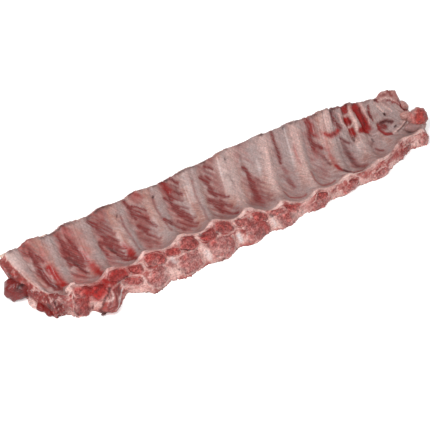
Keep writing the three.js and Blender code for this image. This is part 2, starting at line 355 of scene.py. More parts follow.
    def face(self, u: Array, v: Array, out: Array | float = 0.0) -> Array:
        """Points of the slanting sawn face below the rim.

        Args:
            u: place along the rack.
            v: place down the face.
            out: how far in front of the plain face, in millimetres.
        Returns:
            Points in millimetres.
        """
        lean = self.lean(u)
        top = self.rim_z(u) - self.rim_sag * self.sag(u) * (1.0 - v)
        between = 1.0 - self.ribness(u)
        scallop = self.foot_scallop * between * ramp(1, 3, u) * (1.0 - 0.6 * ramp(8, 10, u))
        notch = 5.0 * bump(u, 3.6, 0.3) + 3.5 * bump(u, 3.12, 0.14) + 3.5 * bump(u, 2.35, 0.13)
        notch = notch + 5.0 * bump(u, 1.7, 0.5) + 7.5 * bump(u, 3.31, 0.17)
        rim = self.rim_line_y(u)
        end = self.end_rounding * ramp(13.0, self.last_u, u)
        foot = rim - lean + scallop + notch + end + 1.3 * self.wobble(2.0 * u, 4) + self.fray(u, 5.0)
        slope = np.hypot(lean, top)
        y = blend(rim, foot, v) - out * top / slope
        z = np.maximum(0.0, top * (1.0 - v) + out * lean / slope)
        return stack(self.rim_x(u), y, z)

    def face_skin(self, u: Array, v: Array) -> Array:
        """Points of the chine face with its bulge and the loose flap."""
        bulge = 1.4 * np.sin(np.pi * v) * (0.6 + 0.4 * self.ribness(u))
        return self.face(u, v, bulge + self.flap(u, v))

    def heel(self, u: Array, tip: Array) -> Array:
        """Lower edge of the sawn tips."""
        thick = self.tip_thickness * self.plumpness(u)
        return tip + stack(0.0 * thick, 0.62 * thick, -0.78 * thick)

    def underside(self, u: Array, share: Array) -> Array:
        """Points of the outer side, from the face's foot (share 0) to the heel (share 1).

        Args:
            u: place along the rack.
            share: place across the outer side.
        Returns:
            Points in millimetres.
        """
        foot = self.face_skin(u, np.ones_like(u))
        heel = self.heel(u, self.hollow_skin(u, np.ones_like(u)))
        points = foot + (heel - foot) * share[..., None]
        points[..., 2] = heel[..., 2] * np.clip((share - 0.5) / 0.5, 0, 1) ** 1.55
        return points

    def cut(self, u: Array, t: Array, s: Array) -> Array:
        """Points inside the meat, from the hollow side (s 0) to the underside (s 1)."""
        upper = self.hollow_skin(u, t)
        return upper + (self.underside(u, t) - upper) * s[..., None]

    def first_cut(self, t: Array, s: Array) -> Array:
        """Points on the knife-cut end near the first rib."""
        return self.cut(self.first_u + 0 * t, t, s)


LINES = RackLines()


# ---------------------------------------------------------------- paints and marks


class Paint(Enum):
    """What shows at a place of the meat, each a mask on the mesh."""

    WARM = "warm_membrane"
    PALE = "pale_membrane"
    LILAC = "grey_membrane"
    RED = "thin_muscle"
    MUSCLE = "bare_muscle"
    FAT = "white_fat"
    GRISTLE = "white_gristle"
    SPONGY = "sawn_spongy_bone"
    BLOOD = "fresh_blood"
    CLOT = "dark_clot"


# How far a full stroke of each paint stands up (or sinks, below 0), in millimetres.
STROKE_RELIEF = {
    Paint.WARM: 0.15,
    Paint.PALE: 0.3,
    Paint.LILAC: 0.0,
    Paint.RED: -0.1,
    Paint.MUSCLE: -0.55,
    Paint.FAT: 0.5,
    Paint.GRISTLE: 0.5,
    Paint.SPONGY: 0.3,
    Paint.BLOOD: -0.3,
    Paint.CLOT: -0.6,
}


# How far a stroke reaches from its path, over its width; 0.9 for the paints left out.
SPREAD = {Paint.BLOOD: 1.35, Paint.MUSCLE: 1.0}
# How much firmer a stroke is than its strength says, for some paints.
FIRMNESS = {Paint.MUSCLE: 1.4}
# Paints whose strokes have firm edges, and how fast firm and soft edges fade.
CRISP = (Paint.MUSCLE, Paint.FAT, Paint.GRISTLE, Paint.BLOOD, Paint.CLOT)
FIRM_EDGE, SOFT_EDGE = 2.6, 1.7
STROKE_END = 2.6  # in half widths from the path, where hardly anything is left of a stroke
RAG_MM = 2.6  # width of the broadest tears in a stroke's edge
RAGGEDNESS = 0.45


class Zone(Enum):
    """The stretches of a section through the rack, in their order round it."""

    FACE = 0
    RIM = 1
    HOLLOW = 2
    TIP = 3
    UNDER = 4


@dataclass(frozen=True)
class Mark:
    """A soft stroke of one paint along a path on the surface.

    Attributes:
        paint: what shows there.
        strength: 0 to 1 at the middle of the stroke.
        width: its width in millimetres.
        path: its points, (u, t) on the hollow side, (u, v) on the face, (t, s) on the cut end.
    """

    paint: Paint
    strength: float
    width: float
    path: Path

    def points(self, surface: Callable[[Array, Array], Array]) -> Array:
        """The path as closely spaced points on a surface.

        Args:
            surface: gives the points for two coordinates.
        Returns:
            Points in millimetres.
        """
        knots = np.array(self.path, float)
        steps = np.linspace(0.0, len(knots) - 1.0, 8 * (len(knots) - 1) + 1)
        index = np.arange(len(knots))
        across = np.interp(steps, index, knots[:, 1])
        return surface(np.interp(steps, index, knots[:, 0]), across)


def strokes(paint: Paint, *rows: tuple[float, ...]) -> tuple[Mark, ...]:
    """Marks of one paint.

    Args:
        paint: what they show.
        rows: strength, width in millimetres, and both coordinates of two or more points, in
            hundredths.
    Returns:
        One mark a row.
    """
    marks = []
    for strength, width, *places in rows:
        path = tuple((along / 100, across / 100) for along, across in zip(places[::2], places[1::2]))
        marks.append(Mark(paint, strength, width, path))
    return tuple(marks)


# Each stroke's strength, width and then the u and t of its points in hundredths, paint by
# paint and from the wide cut end on. Which comes first doesn't matter, because each paint
# has its own mask.
HOLLOW_MARKS: tuple[Mark, ...] = (
    # Thick pale membrane on the ribs, and from rib 7 on also between them.
    *strokes(
        Paint.PALE,
        (1.0, 8, 97, 98, 109, 77), (0.4, 4.5, 215, 92, 221, 68, 223, 50), (0.2, 3, 221, 53, 225, 32),
        (0.2, 3.5, 291, 94, 299, 71, 309, 44), (0.3, 2.5, 393, 72, 403, 41, 401, 10),
        (0.3, 2.5, 485, 86, 493, 66, 503, 36, 501, 9), (0.3, 3.5, 519, 88, 519, 69),
        (0.9, 4.5, 591, 98, 595, 81, 597, 63), (0.9, 5, 683, 90, 691, 68, 693, 47),
        (0.5, 3, 695, 95, 695, 75), (0.6, 1, 707, 50, 715, 18), (0.6, 9, 773, 94, 775, 71),
        (0.5, 4, 819, 90, 813, 70, 805, 45), (0.5, 6, 871, 95, 867, 65), (0.6, 5, 1019, 89, 1037, 80),
        (0.5, 5, 1063, 62, 1095, 48), (0.6, 2.6, 1173, 79, 1169, 65, 1175, 55),
        (0.6, 3, 1193, 96, 1209, 91), (0.7, 9, 1211, 89, 1267, 65), (0.9, 2.4, 1225, 52, 1245, 51),
        (0.4, 5, 1273, 46, 1295, 10),
    ),
    # Muscle that shines through thin membrane.
    *strokes(
        Paint.RED,
        (0.12, 7, 105, 75, 120, 40, 140, 20), (0.6, 4, 183, 62, 196, 30), (0.22, 6, 189, 89, 187, 72),
        (0.35, 4, 275, 90, 280, 60), (0.7, 4, 280, 62, 290, 10), (0.3, 3.5, 289, 83, 297, 60),
        (0.3, 3, 895, 76, 895, 60), (0.3, 2.5, 989, 57, 997, 34),
        (0.45, 4, 1240, 100, 1257, 98, 1277, 97, 1290, 95), (0.4, 3, 1283, 32, 1293, 14),
        (0.8, 3, 1305, 99, 1334, 97), (0.5, 4, 1315, 66, 1330, 70),
    ),
    # Warm membrane along the ribs, and on the folded lobe.
    *strokes(
        Paint.WARM,
        (0.7, 6, 110, 60, 130, 30), (0.6, 4, 111, 83, 129, 50), (0.9, 4, 173, 95, 181, 75),
        (0.7, 1.5, 179, 51, 185, 36), (0.6, 2.5, 181, 70, 187, 44), (0.7, 3, 195, 82, 201, 57),
        (0.9, 4, 289, 81, 297, 57), (0.9, 3.5, 381, 93, 385, 74, 391, 48), (0.5, 4, 455, 97, 473, 90),
        (0.8, 3.5, 483, 96, 487, 76, 495, 53), (0.5, 3, 597, 63, 603, 37, 597, 6),
        (0.6, 3, 623, 92, 621, 72, 621, 48), (0.8, 3.5, 713, 97, 717, 80, 723, 58, 733, 28),
        (0.9, 5, 815, 95, 813, 79, 805, 58, 803, 26), (0.8, 4.5, 905, 94, 909, 80, 911, 57, 915, 29),
        (0.8, 4.5, 1000, 97, 1002, 67, 1003, 49, 1009, 25), (0.7, 3, 1058, 97, 1060, 84),
        (0.9, 4, 1093, 97, 1095, 86, 1099, 70), (0.6, 2, 1152, 97, 1155, 86, 1153, 74),
        (0.9, 5, 1243, 100, 1273, 97, 1295, 97), (0.9, 4, 1305, 100, 1334, 98),
        (0.7, 4, 1310, 68, 1335, 75),
    ),
    # Bare muscle in the gaps between the ribs. The strokes lie aslant, from one rib down to
    # the next, as the fibres do; near u = 11 they are the two slots that were cut there. The long
    # thin strokes just right of ribs 4, 5 and 6 are painted shade, the crease along each ridge's shaded
    # side.
    *strokes(
        Paint.MUSCLE,
        (0.8, 1.6, 151, 88, 157, 67, 157, 49), (0.9, 2.2, 151, 63, 157, 42), (0.8, 2.5, 153, 52, 171, 34),
        (0.4, 1.5, 155, 90, 149, 77, 139, 60), (0.9, 2, 155, 75, 155, 60), (0.8, 2, 157, 42, 183, 23),
        (0.8, 1.2, 159, 86, 165, 78), (0.7, 1, 169, 80, 177, 71), (0.5, 1, 171, 64, 177, 55),
        (0.6, 1.2, 237, 94, 239, 87), (0.8, 1.5, 237, 66, 241, 53), (0.7, 1.5, 239, 82, 253, 64),
        (0.35, 1.3, 243, 97, 241, 83, 237, 66, 235, 51), (0.6, 1, 243, 88, 253, 78),
        (1.0, 2, 245, 75, 257, 63, 269, 51), (1.0, 2.2, 245, 63, 267, 44), (0.9, 1.6, 249, 54, 267, 36),
        (0.7, 1, 251, 70, 269, 57), (0.6, 1.2, 255, 89, 269, 71), (0.6, 1.2, 263, 82, 273, 69),
        (0.5, 1.5, 269, 71, 281, 47), (0.5, 1.5, 291, 24, 287, 5), (0.8, 2, 323, 95, 341, 88),
        (0.5, 1.3, 327, 93, 351, 74), (0.6, 1.6, 329, 62, 337, 47), (0.4, 1.4, 331, 87, 377, 67),
        (0.7, 1.8, 331, 66, 357, 54), (0.5, 1.2, 337, 82, 361, 66), (0.7, 1.2, 343, 72, 353, 64),
        (0.8, 1.4, 345, 66, 385, 41), (0.6, 1, 351, 86, 373, 73), (1.0, 1.6, 351, 54, 375, 38),
        (0.8, 1.3, 351, 48, 383, 26), (0.7, 1.5, 357, 68, 375, 57), (0.8, 1.3, 359, 39, 385, 12),
        # The last stroke here is painted shade: the dark crease along the shaded right side of rib 4's
        # ridge.
        (0.8, 2, 383, 31, 385, 6), (0.4, 1.3, 407, 84, 405, 70, 411, 51, 413, 26),
        (0.8, 1.8, 429, 98, 441, 87), (0.6, 1.2, 433, 90, 459, 77), (0.3, 3, 437, 53, 445, 30),
        (0.7, 1.5, 439, 85, 443, 73), (0.9, 2, 441, 80, 471, 66), (1.0, 2.6, 443, 64, 457, 54),
        (0.7, 1, 445, 89, 475, 76), (0.4, 1.5, 445, 44, 467, 31), (0.6, 1.5, 451, 54, 459, 45),
        (0.5, 1.3, 455, 48, 477, 34), (0.9, 1.6, 467, 67, 483, 52),
        # The first stroke here is painted shade: the dark crease along the shaded right side of rib 5's
        # ridge.
        (0.35, 1.3, 503, 87, 499, 73, 507, 50, 511, 33), (0.7, 2, 509, 54, 519, 46),
        (0.5, 2.5, 521, 48, 543, 31), (0.7, 1.6, 531, 82, 543, 71), (0.8, 2.4, 537, 100, 543, 93, 547, 88),
        (0.5, 2, 539, 46, 573, 26), (0.9, 1.6, 541, 90, 575, 77), (0.9, 2.2, 543, 85, 547, 77),
        (0.8, 2, 543, 72, 553, 63), (0.9, 2.6, 543, 65, 555, 52), (0.6, 1.2, 545, 80, 569, 69),
        (0.5, 1.2, 551, 68, 575, 56), (0.9, 2, 551, 54, 573, 40), (0.6, 1, 555, 93, 571, 86),
        (0.7, 1.6, 559, 100, 573, 91), (0.6, 1.2, 559, 58, 583, 38), (0.6, 1.4, 559, 43, 581, 28),
        # The first stroke here is painted shade: the dark crease along the shaded right side of rib 6's
        # ridge.
        (0.3, 1.3, 607, 84, 603, 64, 609, 39, 601, 6), (0.7, 2.4, 631, 84, 645, 75),
        (1.0, 3, 635, 53, 659, 39), (0.7, 2, 641, 74, 649, 64), (0.8, 2.2, 641, 66, 653, 55),
        (0.4, 1.2, 643, 90, 663, 82), (0.6, 1.5, 643, 84, 653, 77), (0.7, 2, 643, 41, 655, 30),
        (0.8, 1.6, 647, 95, 665, 88), (0.8, 1.6, 651, 60, 681, 45), (0.2, 5, 651, 29, 673, 11, 689, 6),
        (0.6, 1.6, 655, 35, 683, 8), (0.6, 1.6, 659, 47, 681, 31), (0.35, 1.5, 669, 38, 689, 15),
        (0.25, 5, 733, 21, 761, 23, 779, 24), (0.9, 2.2, 743, 75, 753, 62), (0.8, 2.6, 750, 62, 753, 45),
        (0.85, 4.2, 753, 50, 753, 29), (0.4, 3.6, 755, 29, 760, 14), (0.5, 1.2, 767, 57, 787, 43),
        (0.4, 1.2, 767, 49, 789, 31), (0.4, 1.2, 767, 39, 789, 21), (0.4, 1.4, 767, 31, 789, 10),
        (0.4, 1.2, 825, 23, 833, 12, 855, 10, 877, 8), (0.3, 2.5, 839, 80, 847, 70),
        (0.6, 1.8, 841, 99, 843, 89, 847, 77, 845, 64), (0.3, 2, 843, 48, 851, 35),
        (0.35, 2.5, 847, 58, 853, 51), (0.45, 2.3, 853, 43, 858, 29),
        (0.3, 1.4, 919, 36, 919, 19, 933, 8, 971, 9), (0.4, 1.2, 937, 86, 945, 77),
        (0.7, 1.2, 945, 96, 955, 82, 965, 78), (0.6, 2.2, 949, 100, 961, 92, 959, 86),
        (0.8, 2.4, 949, 85, 949, 74, 949, 64), (0.7, 2.5, 951, 72, 973, 63),
        (0.5, 1.6, 955, 61, 975, 49, 981, 37), (0.7, 1.6, 993, 30, 1001, 15, 1015, 5, 1055, 4),
        (0.7, 1.6, 1025, 97, 1029, 88, 1045, 78), (0.5, 2, 1025, 86, 1041, 76),
        (0.6, 1.6, 1031, 100, 1055, 100), (0.6, 1.3, 1035, 67, 1057, 57),
        (0.3, 3, 1039, 60, 1041, 47, 1047, 33, 1057, 20), (0.4, 3, 1045, 22, 1075, 10),
        (0.25, 4, 1047, 48, 1047, 34, 1055, 26), (0.2, 3, 1049, 36, 1069, 13),
        (1.0, 3.8, 1070, 88, 1079, 83), (1.0, 3.4, 1074, 100, 1073, 95), (1.0, 3.4, 1081, 75, 1083, 68),
        (1.0, 3.2, 1110, 66, 1140, 69), (1.0, 4.4, 1117, 98, 1127, 91, 1138, 84, 1143, 79, 1143, 73),
        (0.6, 1.6, 1140, 33, 1155, 21), (0.8, 1.2, 1179, 94, 1173, 85, 1179, 75),
        (0.9, 1.8, 1193, 64, 1191, 56, 1201, 43, 1223, 37), (0.7, 3, 1200, 58, 1220, 56),
        (0.9, 2, 1207, 64, 1237, 64, 1250, 59), (0.7, 1.6, 1225, 99, 1235, 96),
        (0.5, 1.3, 1247, 100, 1258, 96), (0.9, 1.4, 1263, 90, 1289, 85, 1305, 82, 1330, 86),
        (0.6, 1.3, 1270, 99, 1282, 94), (0.8, 2, 1295, 86, 1315, 80, 1329, 76),
    ),
    # Wet blood, most of it beside the early ribs, in the cut across rib 10 and in the two slots.
    *strokes(
        Paint.BLOOD,
        (0.5, 1, 179, 65, 185, 55), (0.35, 1.8, 183, 85, 181, 70), (1.0, 2.8, 183, 60, 189, 46, 197, 30),
        (0.9, 1.6, 197, 30, 201, 22), (0.45, 2.2, 251, 99, 265, 90), (0.35, 3, 259, 92, 265, 82),
        (0.4, 2.2, 281, 57, 288, 40), (0.5, 2.2, 285, 40, 290, 26), (0.45, 2.4, 290, 32, 289, 8),
        (0.7, 2.2, 383, 48, 393, 33), (0.8, 2, 389, 35, 391, 23), (0.35, 1.5, 393, 27, 387, 6),
        (0.5, 3, 457, 97, 473, 92), (0.3, 1.2, 471, 72, 477, 65), (0.6, 2.4, 537, 100, 543, 93, 547, 88),
        (0.15, 1.5, 817, 40, 815, 25), (0.3, 1.2, 825, 23, 833, 12, 855, 10, 877, 8),
        (0.35, 1, 893, 74, 893, 63, 897, 50), (0.35, 1.4, 919, 36, 919, 19, 933, 8, 971, 9),
        (0.4, 2.2, 949, 100, 961, 92, 959, 86), (0.3, 1.6, 951, 64, 951, 54), (0.5, 1.6, 955, 86, 971, 77),
        (0.4, 1.2, 983, 82, 987, 69, 987, 45, 995, 18), (1.0, 1.8, 991, 75, 1007, 70, 1033, 75),
        (0.4, 1.6, 993, 30, 1001, 15, 1015, 5, 1055, 4), (1.0, 2.3, 1071, 87, 1078, 84),
        (0.9, 2.0, 1074, 99, 1073, 96), (0.9, 2.0, 1081, 74, 1083, 69), (1.0, 2.4, 1112, 66.5, 1138, 68.5),
        (1.0, 3.2, 1119, 96, 1128, 90, 1138, 84, 1143, 78, 1142, 73),
        (0.6, 1.4, 1193, 62, 1191, 54, 1203, 42, 1220, 37), (0.4, 1.2, 1279, 87, 1295, 84, 1315, 80),
    ),
    # Dried blood and dark veins.
    *strokes(
        Paint.CLOT,
        (0.3, 1, 139, 95, 141, 87), (0.4, 1.5, 147, 98, 145, 97), (0.4, 1, 159, 43, 179, 31),
        (0.5, 1.6, 241, 65, 259, 49), (0.4, 1, 257, 45, 273, 33), (0.3, 1, 303, 45, 305, 18),
        (0.6, 1.6, 345, 55, 359, 44), (0.8, 1, 399, 86, 397, 84), (0.8, 1.1, 505, 88, 503, 87),
        (0.15, 2, 547, 32, 577, 17), (0.2, 3, 629, 30, 677, 6), (0.25, 1, 701, 68, 709, 43, 711, 11),
        (0.7, 1.1, 701, 91, 701, 90), (0.2, 2, 739, 17, 767, 6), (0.25, 1.5, 743, 89, 741, 74),
        (0.2, 1.5, 841, 99, 843, 89, 847, 77, 845, 64), (0.3, 1, 953, 98, 963, 98),
        (0.3, 1.2, 971, 49, 979, 39), (0.5, 1, 1003, 70, 1025, 73), (0.9, 1.8, 1007, 14, 1015, 7, 1027, 3),
        (0.5, 1.2, 1021, 100, 1031, 95, 1045, 86), (0.3, 1.6, 1025, 97, 1029, 88, 1045, 78),
        (0.5, 1.2, 1027, 3, 1050, 4, 1070, 7), (0.3, 1.3, 1035, 67, 1057, 57),
        (0.3, 2.6, 1039, 60, 1041, 47, 1047, 33, 1057, 20), (0.4, 2.2, 1047, 46, 1049, 36),
        (0.3, 1, 1059, 67, 1067, 52), (0.5, 2, 1080, 100, 1077, 99), (0.6, 1.2, 1080, 86, 1084, 79),
        (0.8, 1.2, 1083, 65, 1082, 61), (0.5, 1.2, 1133, 95, 1140, 86, 1144, 76),
        (0.35, 1.5, 1139, 45, 1127, 39), (0.6, 1.4, 1143, 50, 1144, 46), (0.4, 1, 1165, 88, 1177, 77),
        (0.7, 1.5, 1207, 64, 1237, 64, 1251, 58), (0.5, 1.4, 1222, 99, 1227, 98),
        (1.0, 1.3, 1239, 77, 1241, 75), (0.8, 1.3, 1251, 49, 1257, 50),
        (0.6, 1, 1251, 39, 1289, 48, 1305, 48), (0.3, 1.5, 1273, 36, 1293, 4),
    ),
    # Grey membrane and silverskin.
    *strokes(
        Paint.LILAC,
        (0.6, 2.5, 231, 78, 229, 53), (0.6, 3.5, 239, 40, 281, 8), (0.6, 3, 315, 71, 323, 56),
        (0.85, 4.5, 325, 40, 373, 18), (0.6, 4, 419, 59, 413, 8), (0.6, 6, 479, 51, 492, 18),
        (0.6, 3.5, 509, 70, 519, 48), (0.6, 3, 609, 48, 611, 19), (0.9, 11, 775, 97, 781, 79),
        (0.5, 6, 793, 89, 791, 66), (0.5, 8, 861, 42, 887, 11), (0.9, 9, 875, 95, 875, 75),
        (0.4, 6, 883, 84, 873, 58), (0.5, 5, 951, 44, 969, 25), (0.8, 10, 1027, 35, 1075, 40),
        (0.6, 10, 1211, 89, 1267, 65), (0.7, 5, 1305, 35, 1310, 10),
    ),
    # Fat: on the ribs of the narrow half, and threads round the slots and the lobe.
    *strokes(
        Paint.FAT,
        (0.35, 6, 719, 100, 717, 80, 715, 48, 709, 8), (0.45, 7, 815, 95, 811, 70, 805, 39, 809, 25),
        (0.45, 2.5, 817, 85, 809, 62, 805, 40), (0.4, 6, 905, 95, 901, 75, 899, 56, 903, 33, 911, 12),
        (0.3, 3, 917, 90, 911, 55), (0.3, 2.5, 969, 76, 981, 67), (0.3, 5, 999, 100, 997, 79, 997, 60),
        (0.4, 3.5, 1009, 97, 1007, 82), (0.7, 1, 1049, 93, 1053, 82, 1066, 76, 1078, 67),
        (0.9, 1.3, 1068, 92, 1086, 90), (0.9, 1.2, 1074, 79, 1090, 77.5), (0.5, 1, 1081, 54, 1083, 41),
        (0.6, 1, 1085, 63, 1091, 50), (0.5, 1.6, 1087, 95, 1093, 84), (0.4, 0.9, 1093, 36, 1101, 22),
        (0.9, 2.2, 1097, 80, 1101, 75, 1098, 68), (0.4, 1, 1097, 55, 1103, 38),
        (0.6, 2.2, 1139, 98, 1152, 91), (0.6, 1, 1151, 89, 1162, 80, 1160, 73),
        (0.7, 1, 1215, 94, 1231, 88, 1239, 80),
        (0.9, 1.1, 1233, 37, 1245, 40, 1275, 46, 1301, 53, 1323, 58),
        (0.7, 1, 1239, 97, 1263, 92, 1283, 88, 1301, 83), (0.6, 1, 1243, 92, 1253, 81, 1265, 75),
        (0.4, 1.2, 1250, 100, 1262, 99), (0.5, 1.4, 1300, 75, 1320, 72),
    ),
)

# The same on the chine face, with u and v.
FACE_MARKS: tuple[Mark, ...] = (
    # Fat and gristly seams between the sawn blocks.
    *strokes(
        Paint.FAT,
        (0.4, 2, 115, 21, 133, 39), (0.6, 1.5, 185, 32, 197, 72), (1.0, 3.6, 236, 70, 253, 63, 266, 52),
        (0.9, 2.6, 241, 50, 253, 78), (0.7, 2, 266, 52, 279, 33), (0.6, 3, 325, 61, 357, 88),
        (0.9, 1.2, 375, 44, 381, 62, 387, 77), (0.8, 3.5, 435, 65, 471, 79), (0.8, 1, 447, 2, 449, 23),
        (0.9, 2, 459, 30, 475, 31), (0.6, 1.5, 477, 51, 475, 74), (0.7, 1, 493, 5, 503, 22),
        (0.9, 4, 547, 43, 559, 64), (0.8, 1, 553, 2, 565, 26, 571, 42), (0.6, 1.5, 559, 70, 559, 82),
        (0.9, 1, 601, 2, 607, 25), (1.0, 2.6, 655, 48, 659, 85), (0.7, 1.5, 741, 2, 757, 2),
        (0.9, 3, 755, 39, 759, 80), (0.8, 4, 757, 50, 772, 80), (0.6, 1, 791, 2, 801, 27),
        (0.7, 5, 820, 60, 845, 80), (0.8, 2, 827, 61, 843, 70), (0.6, 4, 835, 30, 860, 35),
        (0.9, 1.5, 843, 15, 861, 15), (0.5, 2, 863, 2, 885, 2), (0.8, 2, 925, 2, 955, 2),
        (0.8, 1.6, 993, 2, 1025, 5), (0.5, 1.2, 1059, 2, 1097, 4), (0.7, 1, 1121, 9, 1193, 2),
        (0.4, 1.6, 1213, 2, 1277, 16), (0.5, 2, 1273, 41, 1297, 63),
    ),
    # Bare muscle, darkest on the loose flap at u = 3.
    *strokes(
        Paint.MUSCLE,
        (0.8, 3, 79, 5, 78, 37), (0.9, 2.5, 81, 18, 105, 59), (0.6, 3, 117, 55, 161, 70),
        (0.4, 8, 190, 60, 215, 80), (0.6, 2, 199, 15, 215, 35), (0.7, 2.5, 231, 9, 241, 29),
        (0.6, 3, 281, 4, 297, 28), (0.9, 1.2, 286, 50, 262, 84), (0.9, 1.3, 294, 42, 260, 93),
        (0.6, 3, 299, 22, 317, 47), (0.9, 1.4, 303, 45, 270, 96), (0.6, 3, 303, 51, 313, 72),
        (0.8, 4, 310, 14, 329, 30), (0.9, 1.1, 312, 52, 284, 92), (0.5, 1.5, 383, 12, 399, 31),
        (0.8, 2.5, 453, 3, 469, 14), (0.6, 2.6, 453, 35, 463, 61), (0.7, 2, 489, 10, 517, 33),
        (0.6, 2, 503, 5, 513, 15), (1.0, 2, 555, 8, 565, 23), (1.0, 3, 563, 3, 591, 5),
        (0.8, 3, 573, 17, 601, 25), (0.6, 3, 623, 16, 645, 36), (0.6, 2, 659, 9, 667, 28),
        (0.6, 3, 679, 3, 691, 28), (0.8, 2.4, 727, 31, 743, 81), (0.7, 2.4, 793, 29, 815, 77),
        (0.5, 2.5, 891, 27, 911, 81), (0.5, 2, 897, 3, 909, 3), (0.35, 2, 941, 60, 957, 18),
        (0.6, 2.6, 1127, 2, 1175, 2), (0.5, 2.2, 1195, 2, 1227, 13), (0.4, 2.5, 1233, 35, 1263, 80),
    ),
    # The flap itself.
    *strokes(Paint.RED, (0.9, 7, 300, 48, 272, 90)),
    # Dried blood in the crevices, and painted shade in the gap beside the loose flap.
    *strokes(
        Paint.CLOT,
        (0.5, 2, 77, 3, 77, 26), (0.3, 1.5, 235, 23, 237, 24), (1.0, 1.8, 250, 96, 260, 100),
        # The last stroke here is painted shade: the dark gap along the left side of the loose flap.
        (0.4, 3.5, 255, 26, 268, 20), (0.3, 2, 267, 15, 269, 35), (1.0, 1.7, 286, 36, 264, 63, 248, 95),
        (0.4, 1.5, 311, 61, 315, 68), (0.6, 1.2, 315, 40, 321, 46), (0.8, 1.4, 335, 27, 341, 37),
        (0.7, 1.2, 355, 14, 369, 31), (0.7, 1.3, 445, 22, 447, 29), (0.4, 1.2, 459, 13, 471, 21),
        (0.3, 1.2, 551, 35, 561, 48), (0.6, 1.6, 555, 8, 565, 23), (0.5, 1.4, 561, 14, 569, 28),
        (0.4, 1.5, 717, 9, 723, 15), (0.8, 1.2, 757, 22, 761, 29), (0.6, 1.1, 1049, 9, 1051, 12),
    ),
    # Wet blood under the rim.
    *strokes(
        Paint.BLOOD,
        (0.3, 2, 171, 41, 179, 68), (0.5, 3, 209, 3, 231, 9), (0.3, 2.5, 215, 47, 219, 65),
        (0.8, 4, 238, 30, 245, 45), (1.0, 6.5, 247, 30, 262, 20, 276, 14), (1.0, 3, 250, 35, 252, 50),
        (0.8, 4, 272, 28, 262, 42), (0.55, 4, 300, 22, 330, 28), (0.7, 4, 311, 6, 335, 5, 345, 21),
        (0.6, 3.5, 343, 52, 361, 68), (0.8, 2, 353, 3, 361, 3), (0.7, 2, 363, 10, 371, 29),
        (0.6, 4, 405, 10, 431, 4, 443, 24), (0.7, 3, 467, 6, 487, 17), (0.4, 3, 511, 4, 529, 4),
        (0.5, 2, 521, 24, 533, 34), (0.9, 3, 562, 20, 577, 41), (0.6, 4.5, 605, 5, 635, 19),
        (0.5, 3, 705, 10, 727, 14), (0.7, 2.5, 715, 41, 739, 79), (0.9, 2.6, 807, 5, 831, 31),
        (0.8, 1.6, 835, 2, 843, 2), (0.5, 2.2, 849, 26, 867, 70), (0.6, 2.6, 909, 5, 923, 33),
        (0.35, 2, 987, 10, 999, 65), (0.5, 2, 1011, 4, 1027, 38), (0.5, 2, 1101, 5, 1117, 12),
        (0.5, 3.5, 1165, 2, 1201, 28),
    ),
    # White gristle on the flap and between the blocks.
    *strokes(
        Paint.GRISTLE,
        (0.95, 1.2, 320, 66, 302, 84, 284, 95), (0.6, 2.2, 463, 35, 469, 48), (0.6, 2.6, 555, 62, 559, 82),
        (1.0, 2.2, 653, 58, 657, 80), (0.5, 2.0, 758, 50, 760, 75),
    ),
    # A pale patch beside rib 4.
    *strokes(Paint.PALE, (0.5, 4, 385, 35, 399, 50)),
    # Open bone under the rim near rib 8.
    *strokes(Paint.SPONGY, (0.8, 7, 775, 5, 793, 19)),
)

# The same on the knife-cut end near the first rib, with t and s.
CUT_MARKS: tuple[Mark, ...] = (
    *strokes(Paint.MUSCLE, (0.9, 4, 21, 56, 16, 69)),
    *strokes(Paint.CLOT, (0.6, 4, 7, 23, 2, 32), (0.6, 4, 80, 30, 55, 20)),
    *strokes(Paint.BLOOD, (0.5, 5, 96, 40, 72, 30)),
    *strokes(Paint.FAT, (0.8, 3.5, 43, 60, 34, 64)),
)


def distance_to_path(places: Array, path: Array) -> Array:
    """Shortest distance from each place to a chain of points, in millimetres.

    Args:
        places: places in millimetres, three coordinates each.
        path: the chain's points.
    Returns:
        One distance a place.
    """
    best = np.full(len(places), np.inf)
    for start, end in zip(path[:-1], path[1:]):
        run = end - start
        length = max(float(run @ run), 1e-9)
        share = np.clip((places - start) @ run / length, 0.0, 1.0)
        gap = places - start - share[:, None] * run
        best = np.minimum(best, np.einsum("ij,ij->i", gap, gap))
    return np.sqrt(best)


